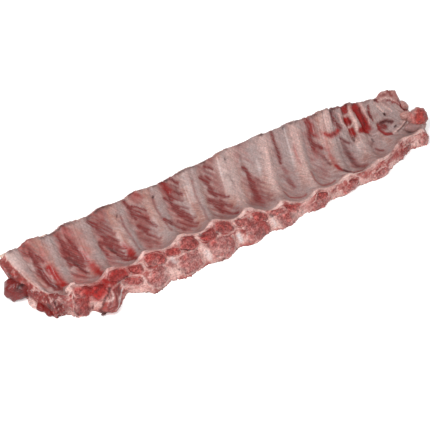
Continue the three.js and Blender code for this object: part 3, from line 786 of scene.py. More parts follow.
class Canvas:
    """The masks and the relief that strokes leave on a set of places."""

    def __init__(self, places: Array, seed: int) -> None:
        """Starts a bare canvas.

        Args:
            places: points of the surface in millimetres.
            seed: seed of the strokes' ragged edges.
        """
        self.places = places
        self.masks = {paint: np.zeros(len(places)) for paint in Paint}
        self.relief = np.zeros(len(places))
        self._rag = Grain(seed)(places, RAG_MM, 3)

    def add(self, paint: Paint, amount: Array, where: Array | None = None) -> None:
        """Lays a paint over what is there.

        Args:
            paint: the paint.
            amount: how much of it, 0 to 1, one value a place.
            where: which places take it; all of them if left out.
        """
        amount = np.clip(amount, 0.0, 1.0)
        if where is not None:
            amount = np.where(where, amount, 0.0)
        self.masks[paint] = 1.0 - (1.0 - self.masks[paint]) * (1.0 - amount)

    def stroke(self, mark: Mark, path: Array, where: Array, firmness: float = 1.0) -> None:
        """Draws one mark.

        Args:
            mark: the mark.
            path: its points on the surface, in millimetres.
            where: which places it may reach.
            firmness: what its strength is multiplied by.
        """
        half = max(SPREAD.get(mark.paint, 0.9) * mark.width, FINEST_HALF_STROKE)
        reach = STROKE_END * half
        low = path.min(axis=0) - reach
        high = path.max(axis=0) + reach
        near = where & np.all((self.places > low) & (self.places < high), axis=1)
        index = np.nonzero(near)[0]
        if not len(index):
            return
        gap = distance_to_path(self.places[index], path)
        gap = gap * (1.0 + RAGGEDNESS * self._rag[index])
        strength = min(1.0, FIRMNESS.get(mark.paint, 1.0) * firmness * mark.strength)
        edge = FIRM_EDGE if mark.paint in CRISP else SOFT_EDGE
        amount = strength * np.exp(-((gap / half) ** edge))
        mask = self.masks[mark.paint]
        mask[index] = 1.0 - (1.0 - mask[index]) * (1.0 - amount)
        self.relief[index] += STROKE_RELIEF[mark.paint] * amount


# ---------------------------------------------------------------- materials


def linear(code: str, alpha: float = 1.0) -> tuple[float, float, float, float]:
    """Turns an sRGB hex colour to the linear values that a shader takes.

    Args:
        code: the colour as "#rrggbb".
        alpha: its opacity.
    Returns:
        Linear red, green and blue, and alpha.
    """
    values = [int(code[i : i + 2], 16) / 255.0 for i in (1, 3, 5)]
    red, green, blue = (
        c / 12.92 if c <= 0.04045 else ((c + 0.055) / 1.055) ** 2.4 for c in values
    )
    return red, green, blue, alpha


def node(
    tree: bpy.types.NodeTree, kind: str, inputs: dict | None = None, **settings: object
) -> bpy.types.Node:
    """Adds a shader node.

    Args:
        tree: the tree it goes into.
        kind: its type name, without "ShaderNode".
        inputs: a socket to link or a value to set for each input name or number.
        settings: the node's own properties.
    Returns:
        The new node.
    """
    made = tree.nodes.new("ShaderNode" + kind)
    for name, value in settings.items():
        setattr(made, name, value)
    for key, value in (inputs or {}).items():
        if isinstance(value, bpy.types.NodeSocket):
            tree.links.new(value, made.inputs[key])
        else:
            made.inputs[key].default_value = value
    return made


def new_material(
    name: str, inputs: dict[str, object]
) -> tuple[bpy.types.Material, bpy.types.NodeTree, bpy.types.Node]:
    """A node material that holds its Principled shader alone.

    Args:
        name: the material's name.
        inputs: values of the shader's inputs.
    Returns:
        The material, its node tree and its shader.
    """
    material = bpy.data.materials.new(name)
    material.use_nodes = True
    tree = material.node_tree
    tree.nodes.clear()
    shader = node(tree, "BsdfPrincipled", inputs)
    node(tree, "OutputMaterial", {"Surface": shader.outputs["BSDF"]})
    return material, tree, shader


# Where the sockets of a Mix node's two colours and of its result lie.
MIX_A, MIX_B, MIX_RESULT = 6, 7, 2
# What MapRange reads a noise texture from: most of its values lie between these.
NOISE = {1: 0.3, 2: 0.7}


@dataclass(frozen=True)
class WetMeat:
    """Raw pork with the membrane left on: grey-pink skin, bare muscle, fat and blood.

    A thin film of meat juice lies over it, so it has a soft wet sheen rather than a gloss.
    """

    name: str = "raw_pork_with_membrane"
    membrane: str = "#ad8680"
    membrane_deep: str = "#96655f"
    ior: float = 1.38
    roughness: float = 0.42
    fibre_mm: float = 0.9
    patch_mm: float = 7.0
    wrinkle_mm: float = 1.6
    colours: dict[Paint, str] = field(
        default_factory=lambda: {
            Paint.SPONGY: "#b5706a",
            Paint.WARM: "#b18176",
            Paint.PALE: "#cbb0ab",
            Paint.LILAC: "#ab9491",
            Paint.RED: "#a4453f",
            Paint.MUSCLE: "#7b2a28",
            Paint.FAT: "#e2bab2",
            Paint.GRISTLE: "#e6d9d7",
            Paint.BLOOD: "#9c1813",
            Paint.CLOT: "#421716",
        }
    )

    def build(self) -> bpy.types.Material:
        """Makes the material.

        Returns:
            The material.
        """
        # Light sinks about a millimetre into raw meat, and the juice on it is a thin coat.
        film = {
            "IOR": self.ior,
            "Subsurface Weight": 0.12,
            "Subsurface Radius": (1.0, 0.4, 0.25),
            "Subsurface Scale": 1.2 * MM,
            "Coat Weight": 0.2,
            "Coat Roughness": 0.2,
        }
        material, tree, shader = new_material(self.name, film)
        place = node(tree, "TexCoord").outputs["Object"]
        fibre = node(tree, "Attribute", attribute_name="fibre").outputs["Vector"]
        # The fibre attribute is in millimetres, across and along the fibres.
        stretch = (1 / self.fibre_mm, 0.07 / self.fibre_mm, 0.3)
        drawn = node(tree, "VectorMath", {0: fibre, 1: stretch}, operation="MULTIPLY").outputs["Vector"]
        patches, wrinkles, strands = (
            node(tree, "TexNoise", {"Vector": where, "Scale": scale, "Detail": detail}).outputs["Fac"]
            for where, scale, detail in (
                (place, 1 / (self.patch_mm * MM), 4.0),
                (place, 1 / (self.wrinkle_mm * MM), 3.0),
                (drawn, 1.0, 3.0),
            )
        )
        ground = {0: patches, MIX_A: linear(self.membrane_deep), MIX_B: linear(self.membrane)}
        base = node(tree, "Mix", ground, data_type="RGBA").outputs[MIX_RESULT]
        grain = {Paint.MUSCLE: (strands, 1.0), Paint.RED: (strands, 1.1), Paint.FAT: (wrinkles, 0.5)}
        for paint, code in self.colours.items():
            mask = node(tree, "Attribute", attribute_name=paint.value).outputs["Fac"]
            texture, depth = grain.get(paint, (patches, 0.6))
            ends = {3: 1 - depth / 2, 4: 1 + depth / 2}
            swing = node(tree, "MapRange", {0: texture} | NOISE | ends).outputs[0]
            share = node(tree, "Math", {0: mask, 1: swing}, operation="MULTIPLY", use_clamp=True)
            layer = {0: share.outputs[0], MIX_A: base, MIX_B: linear(code)}
            base = node(tree, "Mix", layer, data_type="RGBA").outputs[MIX_RESULT]
        mottled = node(tree, "MapRange", {0: wrinkles, 3: 0.82, 4: 1.15} | NOISE).outputs[0]
        combed = node(tree, "MapRange", {0: strands, 3: 0.8, 4: 1.18} | NOISE).outputs[0]
        light = node(tree, "Math", {0: mottled, 1: combed}, operation="MULTIPLY").outputs[0]
        lit = node(tree, "HueSaturation", {"Value": light, "Color": base}).outputs["Color"]
        tree.links.new(lit, shader.inputs["Base Color"])
        # Blood is a little wetter than the rest.
        wet, muscle = (
            node(tree, "Attribute", attribute_name=paint.value).outputs["Fac"]
            for paint in (Paint.BLOOD, Paint.MUSCLE)
        )
        ends = {3: self.roughness - 0.08, 4: self.roughness + 0.1}
        rough = node(tree, "MapRange", {0: wrinkles} | NOISE | ends).outputs[0]
        wetter = node(tree, "Math", {0: wet, 1: -0.06, 2: rough}, operation="MULTIPLY_ADD").outputs[0]
        tree.links.new(wetter, shader.inputs["Roughness"])
        # Fine relief: wrinkles everywhere, and fibres where muscle is bare.
        fibres = node(tree, "Math", {0: strands, 1: muscle}, operation="MULTIPLY").outputs[0]
        fine = node(tree, "Bump", {"Height": wrinkles, "Strength": 0.4, "Distance": 0.6 * MM})
        combing = {"Height": fibres, "Strength": 0.8, "Distance": 0.7 * MM}
        full = node(tree, "Bump", combing | {"Normal": fine.outputs["Normal"]})
        tree.links.new(full.outputs["Normal"], shader.inputs["Normal"])
        return material


@dataclass(frozen=True)
class SawnBone:
    """Fresh bone: a pale hard shell, and red spongy marrow where the saw opened it."""

    name: str
    shell: str = "#bd8580"
    wall: str = "#be8a86"
    pore: str = "#96504c"
    bloody_wall: str = "#cb6f69"
    bloody_pore: str = "#8d2d28"
    roughness: float = 0.4
    pore_mm: float = 1.4
    mottle_mm: float = 5.0
    dapple_mm: float = 3.2
    crevice: str = "#571211"
    crevice_width: float = 0.04  # in the noise's own values, which run from 0 to 1
    crevice_depth: float = 0.6
    # What was smeared over the sawn bone, besides its own marrow; the muscle and clot colours also serve
    # as painted shade round the sawn lumps' outlines.
    stains_and_shade: ClassVar[dict[Paint, str]] = {
        Paint.MUSCLE: "#7b2a28",
        Paint.FAT: "#e2bab2",
        Paint.GRISTLE: "#e6d9d7",
        Paint.BLOOD: "#a81b16",
        Paint.CLOT: "#421716",
    }

    def build(self) -> bpy.types.Material:
        """Makes the material; the mask "marrow" says where the bone is open.

        Returns:
            The material.
        """
        moist = {
            "Roughness": self.roughness,
            "IOR": 1.4,
            "Subsurface Weight": 0.1,
            "Subsurface Radius": (1.0, 0.4, 0.3),
            "Subsurface Scale": 1.0 * MM,
            "Coat Weight": 0.15,
            "Coat Roughness": 0.25,
        }
        material, tree, shader = new_material(self.name, moist)
        place = node(tree, "TexCoord").outputs["Object"]
        open_bone, redness = (
            node(tree, "Attribute", attribute_name=mask).outputs["Fac"] for mask in ("marrow", "redness")
        )
        # Pores are drawn a little coarser than real ones, so that they show.
        pores = {"Vector": place, "Scale": 1 / (self.pore_mm * MM), "Detail": 2.0, "Roughness": 0.6}
        specks = node(tree, "TexNoise", pores).outputs["Fac"]
        mottle, dapple = (
            node(tree, "TexNoise", {"Vector": place, "Scale": scale, "Detail": detail}).outputs["Fac"]
            for scale, detail in ((1 / (self.mottle_mm * MM), 4.0), (1 / (self.dapple_mm * MM), 2.0))
        )
        speckled = node(tree, "MapRange", {0: specks, 1: 0.38, 2: 0.62, 3: 0.0, 4: 1.0}).outputs[0]
        patchy = node(tree, "MapRange", {0: mottle, 3: -0.35, 4: 0.35} | NOISE).outputs[0]
        red = node(tree, "Math", {0: redness, 1: patchy}, operation="ADD", use_clamp=True).outputs[0]
        pore, wall = (
            node(tree, "Mix", {0: red, MIX_A: linear(plain), MIX_B: linear(bloody)}, data_type="RGBA")
            for plain, bloody in ((self.pore, self.bloody_pore), (self.wall, self.bloody_wall))
        )
        cells = {0: speckled, MIX_A: pore.outputs[MIX_RESULT], MIX_B: wall.outputs[MIX_RESULT]}
        sponge = node(tree, "Mix", cells, data_type="RGBA").outputs[MIX_RESULT]
        # Winding crevices where the marrow is bloody.
        far = node(tree, "Math", {0: mottle, 1: 0.5}, operation="SUBTRACT").outputs[0]
        near = node(tree, "Math", {0: far}, operation="ABSOLUTE").outputs[0]
        width = {1: 0.0, 2: self.crevice_width, 3: self.crevice_depth, 4: 0.0}
        crevice = node(tree, "MapRange", {0: near} | width).outputs[0]
        bloody = node(tree, "Math", {0: crevice, 1: red}, operation="MULTIPLY").outputs[0]
        opened = node(tree, "Math", {0: bloody, 1: open_bone}, operation="MULTIPLY").outputs[0]
        layers = [(open_bone, sponge), (opened, linear(self.crevice))]
        for paint, code in self.stains_and_shade.items():
            mask = node(tree, "Attribute", attribute_name=paint.value).outputs["Fac"]
            layers.append((mask, linear(code)))
        colour = linear(self.shell)
        for share, over in layers:
            mix = node(tree, "Mix", {0: share, MIX_A: colour, MIX_B: over}, data_type="RGBA")
            colour = mix.outputs[MIX_RESULT]
        light = node(tree, "MapRange", {0: dapple, 1: 0.33, 2: 0.67, 3: 0.68, 4: 1.3}).outputs[0]
        lit = node(tree, "HueSaturation", {"Value": light, "Color": colour}).outputs["Color"]
        tree.links.new(lit, shader.inputs["Base Color"])
        rough = node(tree, "Bump", {"Height": specks, "Strength": 0.8, "Distance": 0.8 * MM})
        creviced = {"Height": bloody, "Strength": 0.8, "Distance": 1.0 * MM}
        sunk = node(tree, "Bump", creviced | {"Normal": rough.outputs["Normal"]}, invert=True)
        tree.links.new(sunk.outputs["Normal"], shader.inputs["Normal"])
        return material


@dataclass(frozen=True)
class PaperFloor:
    """Plain matt white paper, lit through, which shows little but the rack's soft shadow."""

    name: str = "matt_white_paper"
    white: str = "#ffffff"
    glow: float = 0.35

    def build(self) -> bpy.types.Material:
        """Makes the material.

        Returns:
            The material.
        """
        paper = {
            "Base Color": linear(self.white),
            "Roughness": 0.9,
            "Specular IOR Level": 0.1,
            "Emission Color": linear(self.white),
            "Emission Strength": self.glow,
        }
        return new_material(self.name, paper)[0]


# ---------------------------------------------------------------- meshes


@dataclass
class Form:
    """A closed mesh in the making: points in millimetres, faces and values on the points."""

    points: Array
    faces: list[list[int]]
    values: dict[str, Array]
    uvs: Array | None = None

    def place(self, name: str, material: bpy.types.Material, slot: str) -> bpy.types.Object:
        """Makes a smooth mesh object that rides on the rack.

        Args:
            name: the piece's name.
            material: its material.
            slot: not used.
        Returns:
            The object, linked to the scene.
        """
        made = self.to_object(name, material)
        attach(made, "root")
        LOG.info("%s: %d vertices", name, len(self.points))
        return made

    def to_object(self, name: str, material: bpy.types.Material) -> bpy.types.Object:
        """Makes the mesh object and links it to the scene.

        Args:
            name: the piece's name.
            material: its material.
        Returns:
            The object.
        """
        mesh = bpy.data.meshes.new(name)
        mesh.from_pydata((self.points * MM).tolist(), [], self.faces)
        for title, values in self.values.items():
            vector = values.ndim == 2
            layer = mesh.attributes.new(title, "FLOAT_VECTOR" if vector else "FLOAT", "POINT")
            flat = values.astype(np.float32).ravel()
            layer.data.foreach_set("vector" if vector else "value", flat)
        if self.uvs is not None:
            layer = mesh.uv_layers.new(name="OFBake")
            layer.data.foreach_set("uv", self.uvs.astype(np.float32).ravel())
        mesh.polygons.foreach_set("use_smooth", np.ones(len(mesh.polygons), bool))
        mesh.materials.append(material)
        mesh.update()
        made = bpy.data.objects.new(name, mesh)
        bpy.context.scene.collection.objects.link(made)
        return made


def grid_normals(points: Array) -> Array:
    """Outward normals of a tube's points, whose columns are rings.

    Args:
        points: the tube's points, a row of columns for each ring.
    Returns:
        One vector of length 1 a point.
    """
    along = np.gradient(points, axis=0)
    around = np.roll(points, -1, axis=1) - np.roll(points, 1, axis=1)
    return unit(np.cross(along, around))


def tube_faces(rings: int, sides: int) -> list[list[int]]:
    """Faces of a tube of points, ring by ring.

    Args:
        rings: how many rings.
        sides: how many points in each.
    Returns:
        The four point numbers of each face.
    """
    ring = np.arange(rings - 1)[:, None] * sides
    row = np.arange(sides)[None, :]
    beside = (row + 1) % sides
    corners = [ring + row, ring + sides + row, ring + sides + beside, ring + beside]
    return np.stack(corners, -1).reshape(-1, 4).tolist()


def closed_tube(rings: list[Array], values: dict[str, list[Array]]) -> Form:
    """A tube with a single point closing each end.

    Args:
        rings: points of each ring.
        values: for each name, the values of each ring.
    Returns:
        The closed form.
    """
    sides = len(rings[0])
    last = len(rings) * sides
    ends = [rings[0].mean(axis=0)[None], rings[-1].mean(axis=0)[None]]
    faces = tube_faces(len(rings), sides)
    for i in range(sides):
        j = (i + 1) % sides
        faces.append([last, i, j])
        faces.append([last + 1, last - sides + j, last - sides + i])
    full = {
        name: np.concatenate(rows + [rows[0][:1], rows[-1][:1]]) for name, rows in values.items()
    }
    return Form(np.concatenate(rings + ends), faces, full)


def lump_form(
    centre: tuple[float, float, float],
    radii: tuple[float, float, float],
    tilt: float,
    seed: int,
    rough: float,
    masks: dict[str, float],
) -> Form:
    """An uneven rounded lump.

    Args:
        centre: its middle, in millimetres.
        radii: its half sizes, in millimetres.
        tilt: how far it is turned about the Y axis, in radians.
        seed: seed of its unevenness.
        rough: height of the unevenness, in millimetres.
        masks: a value for each mask's name.
    Returns:
        The closed form, with the lowest points resting on the table.
    """
    turns = np.linspace(0, 2 * np.pi, 40, endpoint=False)
    heights = np.linspace(0.03, 0.97, 24) * np.pi
    around = np.stack([np.cos(turns), np.sin(turns), 0 * turns], -1)
    rings = [np.sin(h) * around - np.cos(h) * np.array([0, 0, 1.0]) for h in heights]
    ball = np.stack(rings)
    points = ball * np.array(radii)
    c, s = math.cos(tilt), math.sin(tilt)
    turn = np.array([[c, 0, s], [0, 1, 0], [-s, 0, c]])
    lumps = Grain(seed)(points, 11.0, 3) + 0.35 * Grain(seed + 9)(points, 3.5, 2)
    points = points @ turn.T + (ball @ turn.T) * (rough * lumps)[..., None] + np.array(centre)
    points[..., 2] = np.maximum(points[..., 2], 0.0)
    values = {name: [np.full(len(turns), v) for _ in heights] for name, v in masks.items()}
    form = closed_tube(list(points), values)
    x = form.points
    form.values["fibre"] = np.stack([x[:, 1] + x[:, 2], x[:, 0], 0 * x[:, 0]], -1)
    return form


# ---------------------------------------------------------------- the meat


@dataclass
class MeatSkin:
    """The meat with its membrane: one closed skin with all its relief and marks."""

    columns: int = 540
    cut_rings: int = 20
    face_rows: int = 40
    rim_rows: int = 5
    hollow_rows: int = 84
    tip_rows: int = 10
    under_rows: int = 20
    hollow_crowding: float = 1.12  # over 1, the rows lie closer near the rim
    corner_rounds: int = 3
    hollow_width: float = 68.0  # from the rim to the tips
    fibre_slant: tuple[float, float] = (0.74, 0.67)  # cosine and sine of the fibres' angle
    rung_mm: float = 5.6  # from one muscle strand between the ribs to the next
    face_firmness: float = 0.8  # of the strokes on the chine face
    # Share of bare muscle that shows through the membrane between rib k and the next.
    muscle_by_gap: tuple[float, ...] = (
        0.35, 0.62, 0.75, 0.6, 0.5, 0.5, 0.45, 0.35, 0.15, 0.35, 0.2, 0.1, 0.08, 0.08
    )

    def build(self, material: bpy.types.Material) -> bpy.types.Object:
        """Makes the piece.

        Args:
            material: the meat's material.
        Returns:
            The object.
        """
        self._lay_out()
        plain = self._with_cut_ends(self._round_corners(self._sections()))
        normal = grid_normals(plain)
        self._level_cut_normals(normal)
        flat = plain.reshape(-1, 3)
        self.canvas = Canvas(flat, seed=11)
        self.fibre = self._fibres(flat)
        self._paint_hollow()
        self._paint_face()
        self._paint_back()
        self._paint_cut()
        height = self.canvas.relief + self._texture(flat)
        points = flat + normal.reshape(-1, 3) * height[:, None]
        points[:, 2] = np.maximum(points[:, 2], 0.0)
        rings, rows = self.u.shape
        masks = {paint.value: mask for paint, mask in self.canvas.masks.items()}
        form = Form(points, tube_faces(rings, rows), masks | {"fibre": self.fibre})
        form.uvs = self._uvs(rings, rows)
        made = form.place("meat_skin", material, "meat")
        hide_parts("meat")
        return made

    def _lay_out(self) -> None:
        """Sets u, the zone, the share of the zone and the depth into a cut end of each point."""
        body = np.linspace(LINES.first_u, LINES.last_u, self.columns)
        cut = np.arange(self.cut_rings, 0, -1) / self.cut_rings
        u = np.concatenate([0 * cut + body[0], body, 0 * cut + body[-1]])
        depth = np.concatenate([cut, 0 * body, cut[::-1]])
        stretches = [
            (Zone.FACE, np.linspace(1, 0, self.face_rows)),
            (Zone.RIM, np.linspace(0, 1, self.rim_rows + 2)[1:-1]),
            (Zone.HOLLOW, np.linspace(0, 1, self.hollow_rows) ** self.hollow_crowding),
            (Zone.TIP, np.linspace(0, 1, self.tip_rows + 1)[1:]),
            (Zone.UNDER, np.linspace(1, 0, self.under_rows + 2)[1:-1]),
        ]
        zone = np.concatenate([np.full(len(shares), kind.value) for kind, shares in stretches])
        share = np.concatenate([shares for _, shares in stretches])
        self.u, self.share = np.meshgrid(u, share, indexing="ij")
        self.depth, self.zone = np.meshgrid(depth, zone, indexing="ij")

    def _at(self, *zones: Zone, cut: bool = False) -> Array:
        """Which points lie in some zones, on the cut ends or off them."""
        chosen = np.isin(self.zone, [zone.value for zone in zones])
        return (chosen & ((self.depth > 0) == cut)).ravel()

    def _sections(self) -> Array:
        """Plain points of the whole grid.

        Returns:
            Points in millimetres, ring by ring.
        """
        u, share = self.u, self.share
        none, all_of = np.zeros_like(u), np.ones_like(u)
        rim = LINES.face_skin(u, none)
        inner = LINES.hollow_skin(u, none)
        tip = LINES.hollow_skin(u, all_of)
        heel = LINES.heel(u, tip)
        crown = tip * 0.5 + heel * 0.5 + np.array([0.0, 0.8, 0.6])
        control = 2.0 * crown - 0.5 * (tip + heel)
        w = share[..., None]
        shapes = {
            Zone.FACE: LINES.face_skin(u, share),
            Zone.RIM: rim + (inner - rim) * w,
            Zone.HOLLOW: LINES.hollow_skin(u, share),
            Zone.TIP: (1 - w) ** 2 * tip + 2 * w * (1 - w) * control + w**2 * heel,
            Zone.UNDER: LINES.underside(u, share),
        }
        points = np.zeros(u.shape + (3,))
        for kind, places in shapes.items():
            points = np.where((self.zone == kind.value)[..., None], places, points)
        return points

    def _round_corners(self, points: Array) -> Array:
        """Softens the edges along the rim and the tips, but keeps the foot on the table.

        Args:
            points: the points of the grid.
        Returns:
            The softened points.
        """
        rounded = points.copy()
        for _ in range(self.corner_rounds):
            middle = 0.5 * (np.roll(rounded, 1, axis=1) + np.roll(rounded, -1, axis=1))
            rounded = 0.5 * (rounded + middle)
        rounded[:, 0] = points[:, 0]
        return rounded

    def _with_cut_ends(self, points: Array) -> Array:
        """Draws the rings of both cut ends in, onto the middle line of the section.

        Args:
            points: the points of the grid.
        Returns:
            The points with both ends closed.
        """
        inward = {Zone.FACE: 0.07, Zone.RIM: 0.07, Zone.TIP: 0.93}
        across = np.clip(self.share, 0.07, 0.93)
        for kind, place in inward.items():
            across = np.where(self.zone == kind.value, place, across)
        spine = LINES.cut(self.u, across, 0.5 + 0 * across)
        return points + (spine - points) * self.depth[..., None]

    def _level_cut_normals(self, normal: Array) -> None:
        """Gives each cut end one direction, so that its relief grows straight out of it."""
        for end in (slice(0, self.cut_rings), slice(-self.cut_rings, None)):
            normal[end] = unit(normal[end].reshape(-1, 3).mean(axis=0))

    def _fibres(self, flat: Array) -> Array:
        """Coordinates across and along the muscle fibres, in millimetres.

        On the hollow side the fibres run aslant from one rib to the next; elsewhere they
        run along the rack.

        Args:
            flat: the skin's points.
        Returns:
            Three values a point, the last of them 0.
        """
        x = flat[:, 0]
        y = (self.share * self.hollow_width).ravel()
        c, s = self.fibre_slant
        slant = np.stack([c * x + s * y, s * x - c * y, 0.0 * x], -1)
        straight = np.stack([flat[:, 1] + flat[:, 2], x, 0.0 * x], -1)
        return np.where(self._at(Zone.HOLLOW)[:, None], slant, straight)

    def _paint_hollow(self) -> None:
        """Membrane over the ribs and muscle between them, with painted light and shade on the ribs' flanks
        and painted shade in the pockets, then the marks.
        """
        canvas = self.canvas
        inner = self._at(Zone.HOLLOW, Zone.TIP, Zone.RIM)
        u = self.u.ravel()
        t = np.where(self._at(Zone.TIP), 1.0, np.where(self._at(Zone.RIM), 0.0, self.share.ravel()))
        edge = 0.05 * Grain(5)(canvas.places, 9.0, 2)
        offset = u - np.round(np.clip(u, 1, LINES.ribs)) + edge
        above = ramp(0.1, 0.3, t)
        silver = ramp(6.8, 8.6, u)
        bare = 1 - 0.7 * plateau(offset + 0.05, 0.18)
        grey = ramp(-0.6, 0.3, Grain(6)(canvas.places, 22.0, 2))
        canvas.add(Paint.LILAC, 0.75 * silver * grey * bare, inner)
        blotch = Grain(10)(canvas.places, 8.0, 3)
        on_rib = plateau(offset + 0.05, 0.18)
        canvas.add(Paint.LILAC, 0.6 * ramp(-0.1, 0.35, blotch) * (1 - 0.6 * on_rib * silver), inner)
        streaky = ramp(-0.6, 0.4, Grain(12)(canvas.places, 5.0, 3))
        pale = 0.15 + 0.45 * ramp(4.5, 6.5, u)
        canvas.add(Paint.PALE, pale * plateau(offset - 0.1, 0.13) * above * streaky, inner)
        # Painted light on each rib: warm membrane colour on its lit left flank, grey membrane colour on
        # its shaded right flank.
        canvas.add(Paint.WARM, 0.75 * plateau(offset + 0.13, 0.11) * above, inner)
        canvas.add(Paint.LILAC, 0.5 * plateau(offset - 0.14, 0.1) * (1 - silver) * above, inner)
        gap = np.clip(np.floor(u).astype(int), 0, len(self.muscle_by_gap) - 1)
        shows = np.array(self.muscle_by_gap)[gap]
        place = u - gap + edge
        band = ramp(0.22, 0.34, place) * ramp(0.84, 0.6, place) * ramp(0.1, 0.3, t)
        cloud = Grain(22)(canvas.places, 11.0, 2)
        rungs = np.sin(2 * np.pi * self.fibre[:, 0] / self.rung_mm + 3.0 * cloud)
        comb = 0.35 * rungs + 0.65 * Grain(21)(self.fibre * np.array([1.0, 0.16, 1.0]), 4.2, 2)
        early = 1.1 - 0.3 * ramp(2.9, 3.1, u)
        canvas.add(Paint.RED, early * shows * band * ramp(-0.6, 0.4, cloud), inner)
        canvas.add(Paint.MUSCLE, 0.8 * shows * band * ramp(0.1, 0.4, comb + 0.3 * cloud), inner)
        canvas.add(Paint.PALE, 1.0 * shows * band * ramp(0.05, 0.4, -comb - 0.3 * cloud), inner)
        # Thin pale threads and dark veins all over, closest at the narrow end.
        threads = Grain(13)(self.fibre * np.array([1.0, 0.4, 1.0]), 1.9, 2)
        busy = 0.28 + 0.2 * ramp(8.5, 10.0, u)
        canvas.add(Paint.PALE, 1.3 * busy * ramp(0.05, 0.5, threads), inner)
        canvas.add(Paint.MUSCLE, 0.5 * busy * ramp(0.15, 0.6, -threads), inner)
        # Painted shade: a little bare-muscle colour darkens the pockets between the ribs just inside the
        # rim.
        low = bump(t, 0.14, 0.13) * (1 - LINES.ribness(u)) * (1 - 0.6 * silver)
        canvas.add(Paint.MUSCLE, 0.2 * low, inner)
        canvas.add(Paint.LILAC, 0.5 * bump(t, 0.1, 0.08) * ramp(2.5, 3.5, u), inner)
        # The pale pink edge where membrane and sawn bone meet.
        broken = ramp(-0.7, 0.3, Grain(7)(canvas.places, 5.0, 2))
        broken = broken * ramp(1.5, 1.9, u)
        canvas.add(Paint.FAT, (0.75 * self._at(Zone.RIM) + 0.55 * bump(t, 0, 0.02)) * broken, inner)
        for mark in HOLLOW_MARKS:
            canvas.stroke(mark, mark.points(LINES.hollow_skin), inner)
        # The membrane darkens where it curls over the far edge.
        frayed = ramp(-0.3, 0.4, Grain(9)(canvas.places, 6.0, 3))
        fading = np.where(self._at(Zone.TIP), ramp(0.35, 0.05, self.share.ravel()), 1.0)
        far_edge_darkness = 0.7 - 0.5 * ramp(12.2, 12.4, u)
        canvas.add(Paint.CLOT, far_edge_darkness * ramp(0.955, 0.995, t) * frayed * fading, inner)
        # Raw meat where the first cut slants in over the hollow side.
        ragged = 0.03 * Grain(8)(canvas.places, 4.0, 3)
        raw = ramp(0.02, -0.02, u - self._raw_edge(t) + ragged)
        self._paint_raw(raw, inner)
        canvas.add(Paint.FAT, 0.55 * bump(u - self._raw_edge(t) + ragged, 0.03, 0.02), inner)

    def _raw_edge(self, t: Array) -> Array:
        """Place along the rack where the first cut leaves the hollow side."""
        return 0.88 + 0.3 * (1 - t) ** 1.7

    def _paint_raw(self, amount: Array, where: Array) -> None:
        """Knife-cut meat: wet and dark red, with paler strands and clots.

        Args:
            amount: how raw each point is, 0 to 1.
            where: which points take it.
        """
        canvas = self.canvas
        lumps = Grain(61)(canvas.places, 6.0, 3)
        fine = Grain(62)(canvas.places, 2.4, 2)
        for paint in (Paint.FAT, Paint.PALE, Paint.LILAC, Paint.BLOOD):
            canvas.masks[paint] *= 1.0 - np.where(where, amount, 0.0)
        canvas.add(Paint.RED, 0.95 * amount, where)
        canvas.add(Paint.MUSCLE, 0.85 * amount * ramp(-0.5, 0.3, lumps), where)
        canvas.add(Paint.BLOOD, 0.35 * amount * ramp(0.0, 0.5, -lumps), where)
        canvas.add(Paint.CLOT, 0.35 * amount * ramp(0.1, 0.5, fine - 0.3 * lumps), where)
        canvas.add(Paint.FAT, 0.5 * amount * ramp(0.12, 0.5, -fine - 0.2 * lumps), where)
        canvas.relief += np.where(where, amount * (1.4 * lumps + 0.8 * fine), 0.0)

    def _paint_face(self) -> None:
        """The sawn chine face: red meat under the rim, fat and spongy bone below, and painted shade round
        the sawn lumps.
        """
        canvas = self.canvas
        face = self._at(Zone.FACE)
        v = self.share.ravel()
        u = self.u.ravel()
        late = ramp(8.2, 9.6, u)
        lumps = Grain(31)(canvas.places * np.array([0.6, 1.0, 1.0]), 8.0, 3)
        fine = Grain(32)(canvas.places, 2.4, 2)
        between = 1 - LINES.ribness(u - 0.05)
        canvas.add(Paint.SPONGY, np.ones_like(u), face)
        canvas.add(Paint.FAT, 0.75 * between * ramp(0.35, 0.75, v) * ramp(-0.5, 0.3, -lumps), face)
        canvas.add(Paint.FAT, 0.6 * ramp(0.1, 0.45, -fine - 0.4 * lumps), face)
        canvas.add(Paint.RED, 0.85 * ramp(-0.1, 0.4, lumps + 0.4 * fine) * (1 - 0.4 * late), face)
        canvas.add(Paint.RED, 0.6 * ramp(0.5, 0.2, v) * (1 - late), face)
        canvas.add(Paint.BLOOD, 0.5 * ramp(0.1, 0.5, lumps) * ramp(0.6, 0.2, v), face)
        canvas.add(Paint.MUSCLE, 0.75 * ramp(0.15, 0.5, fine), face)
        canvas.relief += np.where(face, 1.5 * lumps + 0.7 * fine, 0.0)
        on_flap = np.where(face, plateau(u - 3.05 + 0.42 * v, 0.22) * ramp(0.2, 0.35, v), 0.0)
        canvas.masks[Paint.FAT] *= 1.0 - 0.85 * on_flap
        self._paint_raw(ramp(1.75, 1.2, u + 0.15 * lumps), face)
        # Round each lump a pale ring of fat, and inside it, where the lump meets the face, painted shade:
        # a dark ring of muscle and clot colour.
        for patch in RibHeads.heads:
            reach = patch.reach(u, v)
            canvas.add(Paint.FAT, 0.85 * bump(reach, 1.2, 0.13), face)
            canvas.add(Paint.MUSCLE, 0.8 * bump(reach, 1.03, 0.07) * ramp(-0.2, 0.3, fine), face)
            canvas.add(Paint.CLOT, 0.4 * bump(reach, 1.03, 0.07) * ramp(-0.1, 0.4, fine), face)
        reached = self._at(Zone.FACE, Zone.RIM)
        for mark in FACE_MARKS:
            canvas.stroke(mark, mark.points(LINES.face_skin), reached, self.face_firmness)

